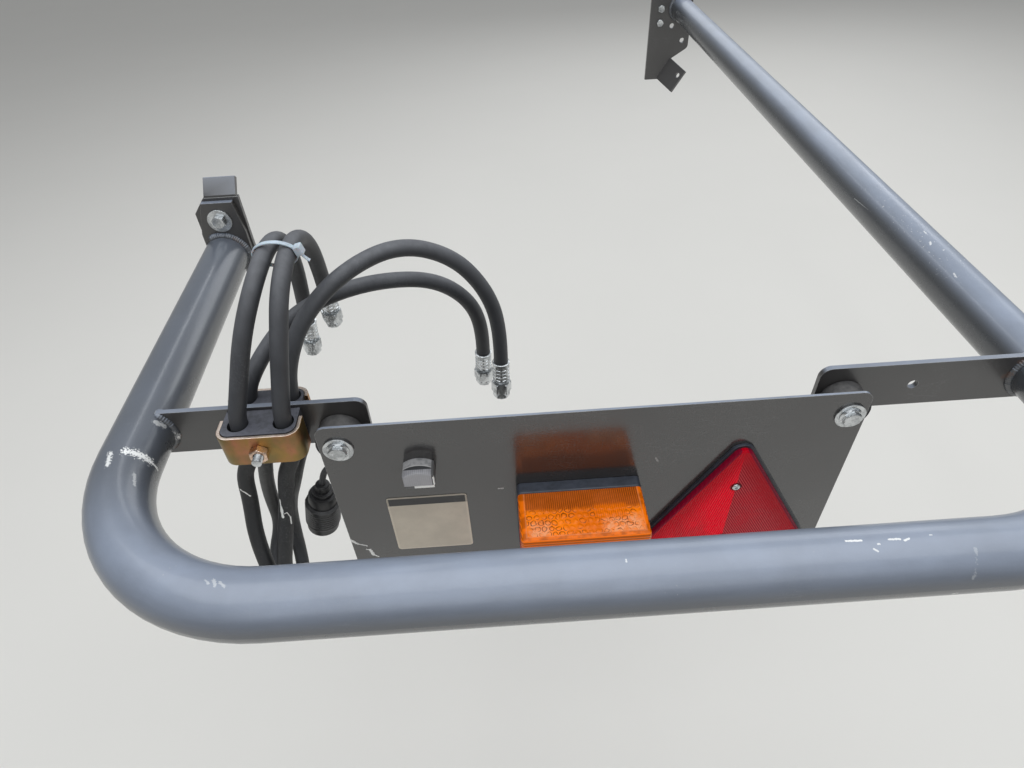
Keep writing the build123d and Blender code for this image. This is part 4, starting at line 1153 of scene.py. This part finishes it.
class HOOP_OT_cable_tie(bpy.types.Operator):
    """Ties the two upper hoses together near their top"""

    bl_idname = "hoop.cable_tie"
    bl_label = "Cable tie"

    def execute(self, context):
        look, nylon = context.scene.hoop_hose, tie_plastic("tie_nylon")
        lines = [middle_line(bpy.data.objects[n]) for n in ("hose_a_over_run", "hose_b_over_run")]
        spots = [line[np.argmin(np.abs(line[:, 1] - level(1, 262)))] for line in lines]
        along = lines[0][np.argmin(np.abs(lines[0][:, 1] - level(1, 268)))] - spots[0]
        along = along / np.linalg.norm(along)
        middle, apart = (spots[0] + spots[1]) / 2, spots[1] - spots[0]
        half = np.linalg.norm(apart) / 2
        side = apart / (2 * half)
        up = np.cross(side, along)
        radius = look.diameter / 2 + 0.9 * MM
        turn = np.linspace(0, 2 * math.pi, 120, endpoint=False)
        wide, tall = half + radius + 0.8 * MM, radius + 3.6 * MM
        loop = middle + wide * np.cos(turn)[:, None] * side + tall * np.sin(turn)[:, None] * up
        strap = section(1.4 * MM, look.tie_width, 0.5 * MM)
        add_piece("tie_strap", carried(strap, loop, along, closed=True), nylon)
        spot, rise = 0.3, 2.6 * MM
        out = np.cos(spot) * side + np.sin(spot) * up
        head = middle + (wide + rise) * np.cos(spot) * side + (tall + rise) * np.sin(spot) * up
        across = np.cross(out, along)
        block = pebble(head, (3.6 * MM, 5.2 * MM, 4.4 * MM), 0.28, (out, across, along))
        add_piece("tie_head", block, nylon)
        run = np.linspace(0, 1, 10)
        tail = head + ((3 + 11 * run) * MM)[:, None] * (-across) + (run ** 2 * 4 * MM)[:, None] * out
        add_piece("tie_tail", carried(section(1.2 * MM, look.tie_width * 0.8, 0.4 * MM), tail, along), nylon)
        return {"FINISHED"}


class HOOP_OT_painted_steel(bpy.types.Operator):
    """Paints the tube, the plates and the board"""

    bl_idname = "hoop.painted_steel"
    bl_label = "Painted steel"

    def execute(self, context):
        look = context.scene.hoop_paint
        rub, gloss = (1.0, 1.0, 4.0), look.gloss
        tube = paint("tube_paint", look.base, TUBE_SCRAPES, gloss, 0.85, -0.15, (0.7, 0.7, 6.0), 0.5, 0.0, True)
        plate = paint("plate_paint", look.board, PLATE_SCRAPES, gloss + 0.1, 0.6, 0.5, rub, 0.4, 0.8)
        # On the board, the film on its upward top edge and its worn edges at full amount are partly a painted highlight
        # along those edges.
        board = paint("board_paint", look.board, BOARD_SCRAPES, gloss - 0.1, 0.85, 0.5, rub, 0.06, 1.0)
        frame["nodes"]["guard_tube"].data.materials.clear()
        frame["nodes"]["guard_tube"].data.materials.append(tube)
        for node in ("lug_plate_left", "lug_plate_right", "left_end_plate", "left_bracket", "right_end_plate"):
            softened(node, 0.0007, plate)
        softened("light_board", 0.0005, board)
        return {"FINISHED"}


class HOOP_OT_welds(bpy.types.Operator):
    """Lays the weld beads at the lug plates and the end plates"""

    bl_idname = "hoop.welds"
    bl_label = "Weld beads"

    def execute(self, context):
        look = context.scene.hoop_paint
        steel = paint("weld_paint", look.base, RUST_SPOTS[:1], 0.34, 0.5, 0.2, (1.0, 1.0, 1.0), 0.8, 0.0)
        tube_radius, lean = 30.15 * MM, 12 / 565
        flat = ((1.0, 0.0, 0.0), (0.0, 0.0, 1.0))
        table = (
            ("weld_left_lug_rear", (-374 - lean * 210, 210, 0), BACK, 52, -100, 0.8),
            ("weld_left_lug_front", (-374 - lean * 216, 216, 0), FORWARD, 52, -100, 0.8),
            ("weld_right_lug_rear", (570, 210, 0), BACK, 128, 262, 0.8),
            ("weld_right_lug_front", (570, 216, 0), FORWARD, 128, 262, 0.8),
            ("weld_left_end", (-386, 565.7, 0), BACK, -62, 128, 0.95),
            ("weld_right_end", (570, 1780, 0), BACK, 48, 312, 0.95),
        )
        for seed, (name, centre, tube, start, stop, share) in enumerate(table):
            arc = (math.radians(start), math.radians(stop))
            surface = bead(row(centre), tube_radius, flat, tube, *arc, look.weld * share, seed)
            add_piece(name, surface, steel, crease=60.0)
        return {"FINISHED"}


class HOOP_OT_buffers(bpy.types.Operator):
    """Finishes the rubber buffers behind the board"""

    bl_idname = "hoop.buffers"
    bl_label = "Rubber buffers"

    def execute(self, context):
        rubber = moulded("buffer_compound", (0.018, 0.018, 0.02), 0.5, 700.0, 0.35)
        for node in ("buffer_left", "buffer_right"):
            softened(node, 0.0004, rubber)
        return {"FINISHED"}


class HOOP_OT_clamps(bpy.types.Operator):
    """Bends the two straps and finishes the rubber blocks inside them"""

    bl_idname = "hoop.clamps"
    bl_label = "Hose clamps"

    def execute(self, context):
        gold = yellow_zinc("gold_passivate")
        rubber = moulded("clamp_rubber", (0.036, 0.037, 0.043), 0.5, 800.0, 0.3, dust=0.6, dust_sheen_colour=(0.15, 0.155, 0.19))
        half, corner, thick, width = 40.0, 12.0, 4.0, 38.0
        turn = np.linspace(0, math.pi / 2, 14)
        for name, face_y, sign, depth in (("front", 210.0, -1.0, 40.0), ("rear", 216.0, 1.0, 28.0)):
            reach, root = face_y + sign * (depth - thick / 2), face_y + sign * corner
            bend = (CLAMP_X - half + corner - corner * np.cos(turn), reach - sign * corner * (1 - np.sin(turn)))
            left = np.stack(bend, -1)
            right = np.stack((2 * CLAMP_X - left[::-1, 0], left[::-1, 1]), -1)
            path = np.concatenate(([[CLAMP_X - half, root]], left, right, [[CLAMP_X + half, root]]))
            path = row(np.c_[path, np.full(len(path), CLAMP_Z)])
            surface = carried(section(thick * MM, width * MM, 0.9 * MM), path, (0, 0, 1))
            add_piece(f"clamp_strap_{name}_bent", surface, gold, (f"clamp_strap_{name}",), 40.0)
            softened("clamp_block_" + name, 0.0016, rubber)
        return {"FINISHED"}


class HOOP_OT_fasteners(bpy.types.Operator):
    """Turns the bolts, nuts, washers and screws"""

    bl_idname = "hoop.fasteners"
    bl_label = "Fasteners"

    def execute(self, context):
        look = context.scene.hoop_fasteners
        half, zinc = look.flats / 2, zinc_plate("bright_zinc")

        def add(node, surface, material=zinc, crease=30.0):
            add_piece(node + "_turned", surface, material, (node,), crease)

        for node, start, axis, low, high, turn, collar in BOLTS:
            shank = thread(THREAD_RADIUS, look.pitch, low * MM, high * MM, row(start), -axis)
            add(node, joined(hex_head(row(start), axis, half, turn, collar * MM), shank))
        for node, start, outer in WASHERS:
            add(node, washer(row(start), BACK, outer))
        for name, x, turn in (("left", -176, 0.2), ("right", 359, 0.55)):
            add("board_nut_" + name, hex_nut(row((x, 216, -16)), FORWARD, half, turn))
        copper = zinc_plate("yellowed_zinc", (1.3, 0.92, 0.7))
        add("clamp_nut", hex_nut(row((CLAMP_X, 170, CLAMP_Z)), BACK, half, 0.62), copper)
        for name, z in SCREW_Z.items():
            screw = turned(SCREW_LEVELS, row((TRI_MID_X, 172, z)), BACK, 40, unit=MM)
            add("reflector_screw_" + name, screw, crease=40.0)
        return {"FINISHED"}


class HOOP_OT_lamp(bpy.types.Operator):
    """Finishes the rear lamp: black base, amber lens and red lens"""

    bl_idname = "hoop.lamp"
    bl_label = "Rear lamp"

    def execute(self, context):
        look = context.scene.hoop_lamps
        softened("lamp_base", 0.0008, black_moulding())
        softened("lamp_lens_amber", 0.0004, lens("amber_moulding", look.amber, (0.9, 0.36, 0.16)))
        softened("lamp_lens_red", 0.0004, lens("red_moulding", look.red, (0.6, 0.2, 0.2)))
        return {"FINISHED"}


class HOOP_OT_reflector(bpy.types.Operator):
    """Finishes the triangular reflector"""

    bl_idname = "hoop.reflector"
    bl_label = "Triangular reflector"

    def execute(self, context):
        softened("reflector_base", 0.0006, black_moulding())
        softened("reflector_red", 0.0003, prism_red("prism_red"))
        return {"FINISHED"}


class HOOP_OT_plate_lamp(bpy.types.Operator):
    """Finishes the plate lamp, its window and the blank plate"""

    bl_idname = "hoop.plate_lamp"
    bl_label = "Plate lamp"

    def execute(self, context):
        softened("plate_lamp", 0.0005, lamp_housing("lamp_housing"))
        softened("plate_lamp_lens", 0.0004, clear_cap("clear_cap"))
        softened("blank_plate", 0.0002, sign_face("blank_foil"))
        return {"FINISHED"}


class HOOP_OT_stage(bpy.types.Operator):
    """Lays the pale floor and sets the soft lamps"""

    bl_idname = "hoop.stage"
    bl_label = "Stage"

    def execute(self, context):
        scene, look = context.scene, context.scene.hoop_stage
        scene.view_settings.view_transform = "Standard"
        mesh = bpy.data.meshes.new("floor")
        half, z = 30.0, look.drop
        mesh.from_pydata([(-half, -half, z), (half, -half, z), (half, half, z), (-half, half, z)], [], [(0, 1, 2, 3)])
        floor = bpy.data.objects.new("floor", mesh)
        scene.collection.objects.link(floor)
        mesh.materials.append(pale_floor("pale_floor"))
        light = (0.94, 0.97, 1.0)
        world = bpy.data.worlds.new("studio")
        world.use_nodes = True
        scene.world = world
        sky = world.node_tree.nodes["Background"]
        sky.inputs["Color"].default_value = (*light, 1.0)
        sky.inputs["Strength"].default_value = look.fill
        table = (
            ("overhead_softbox", (0.5, -0.4, 2.3), (4.8, 2.8), (0.0, 0.0), 1.0),
            ("left_strip", (-0.07, 1.7, 1.6), (0.26, 1.9), (0.0, 0.0), 0.05),
            ("right_strip", (2.7, 1.6, 1.3), (0.8, 2.6), (0.0, 0.95), 0.12),
            ("far_softbox", (1.95, 3.4, 1.5), (3.1, 1.6), (-1.08, 0.0), 0.3),
            ("rear_softbox", (0.4, -3.0, 1.9), (3.6, 2.2), (0.96, 0.0), 0.3),
        )
        for name, place, size, turn, share in table:
            lamp = bpy.data.lights.new(name, "AREA")
            lamp.shape = "RECTANGLE"
            lamp.size, lamp.size_y = size
            lamp.energy = share * look.power
            lamp.color = light
            box = bpy.data.objects.new(name, lamp)
            box.location = place
            box.rotation_euler = (*turn, 0.0)
            box.visible_camera = False
            scene.collection.objects.link(box)
        return {"FINISHED"}


class HOOP_PT_panel(bpy.types.Panel):
    """Lists the hoop's pieces in the sidebar"""

    bl_idname = "HOOP_PT_panel"
    bl_label = "Guard hoop"
    bl_space_type = "VIEW_3D"
    bl_region_type = "UI"
    bl_category = "Hoop"

    def draw(self, context):
        for step in STEPS:
            self.layout.operator(step.bl_idname)


SETTINGS = (
    ("hoop_paint", HoopPaint), ("hoop_hose", HoopHose), ("hoop_fasteners", HoopFasteners),
    ("hoop_lamps", HoopLamps), ("hoop_stage", HoopStage),
)
STEPS = (
    HOOP_OT_camera, HOOP_OT_hoses, HOOP_OT_lead, HOOP_OT_cable_tie, HOOP_OT_painted_steel, HOOP_OT_welds,
    HOOP_OT_buffers, HOOP_OT_clamps, HOOP_OT_fasteners, HOOP_OT_lamp, HOOP_OT_reflector, HOOP_OT_plate_lamp,
    HOOP_OT_stage,
)


def register():
    for name, settings in SETTINGS:
        bpy.utils.register_class(settings)
        setattr(bpy.types.Scene, name, PointerProperty(type=settings))
    for step in STEPS + (HOOP_PT_panel,):
        bpy.utils.register_class(step)


def unregister():
    for step in (HOOP_PT_panel,) + STEPS[::-1]:
        bpy.utils.unregister_class(step)
    for name, settings in SETTINGS[::-1]:
        delattr(bpy.types.Scene, name)
        bpy.utils.unregister_class(settings)


def main():
    register()
    for step in STEPS:
        area, name = step.bl_idname.split(".")
        getattr(getattr(bpy.ops, area), name)()


if __name__ == "__main__":
    main()
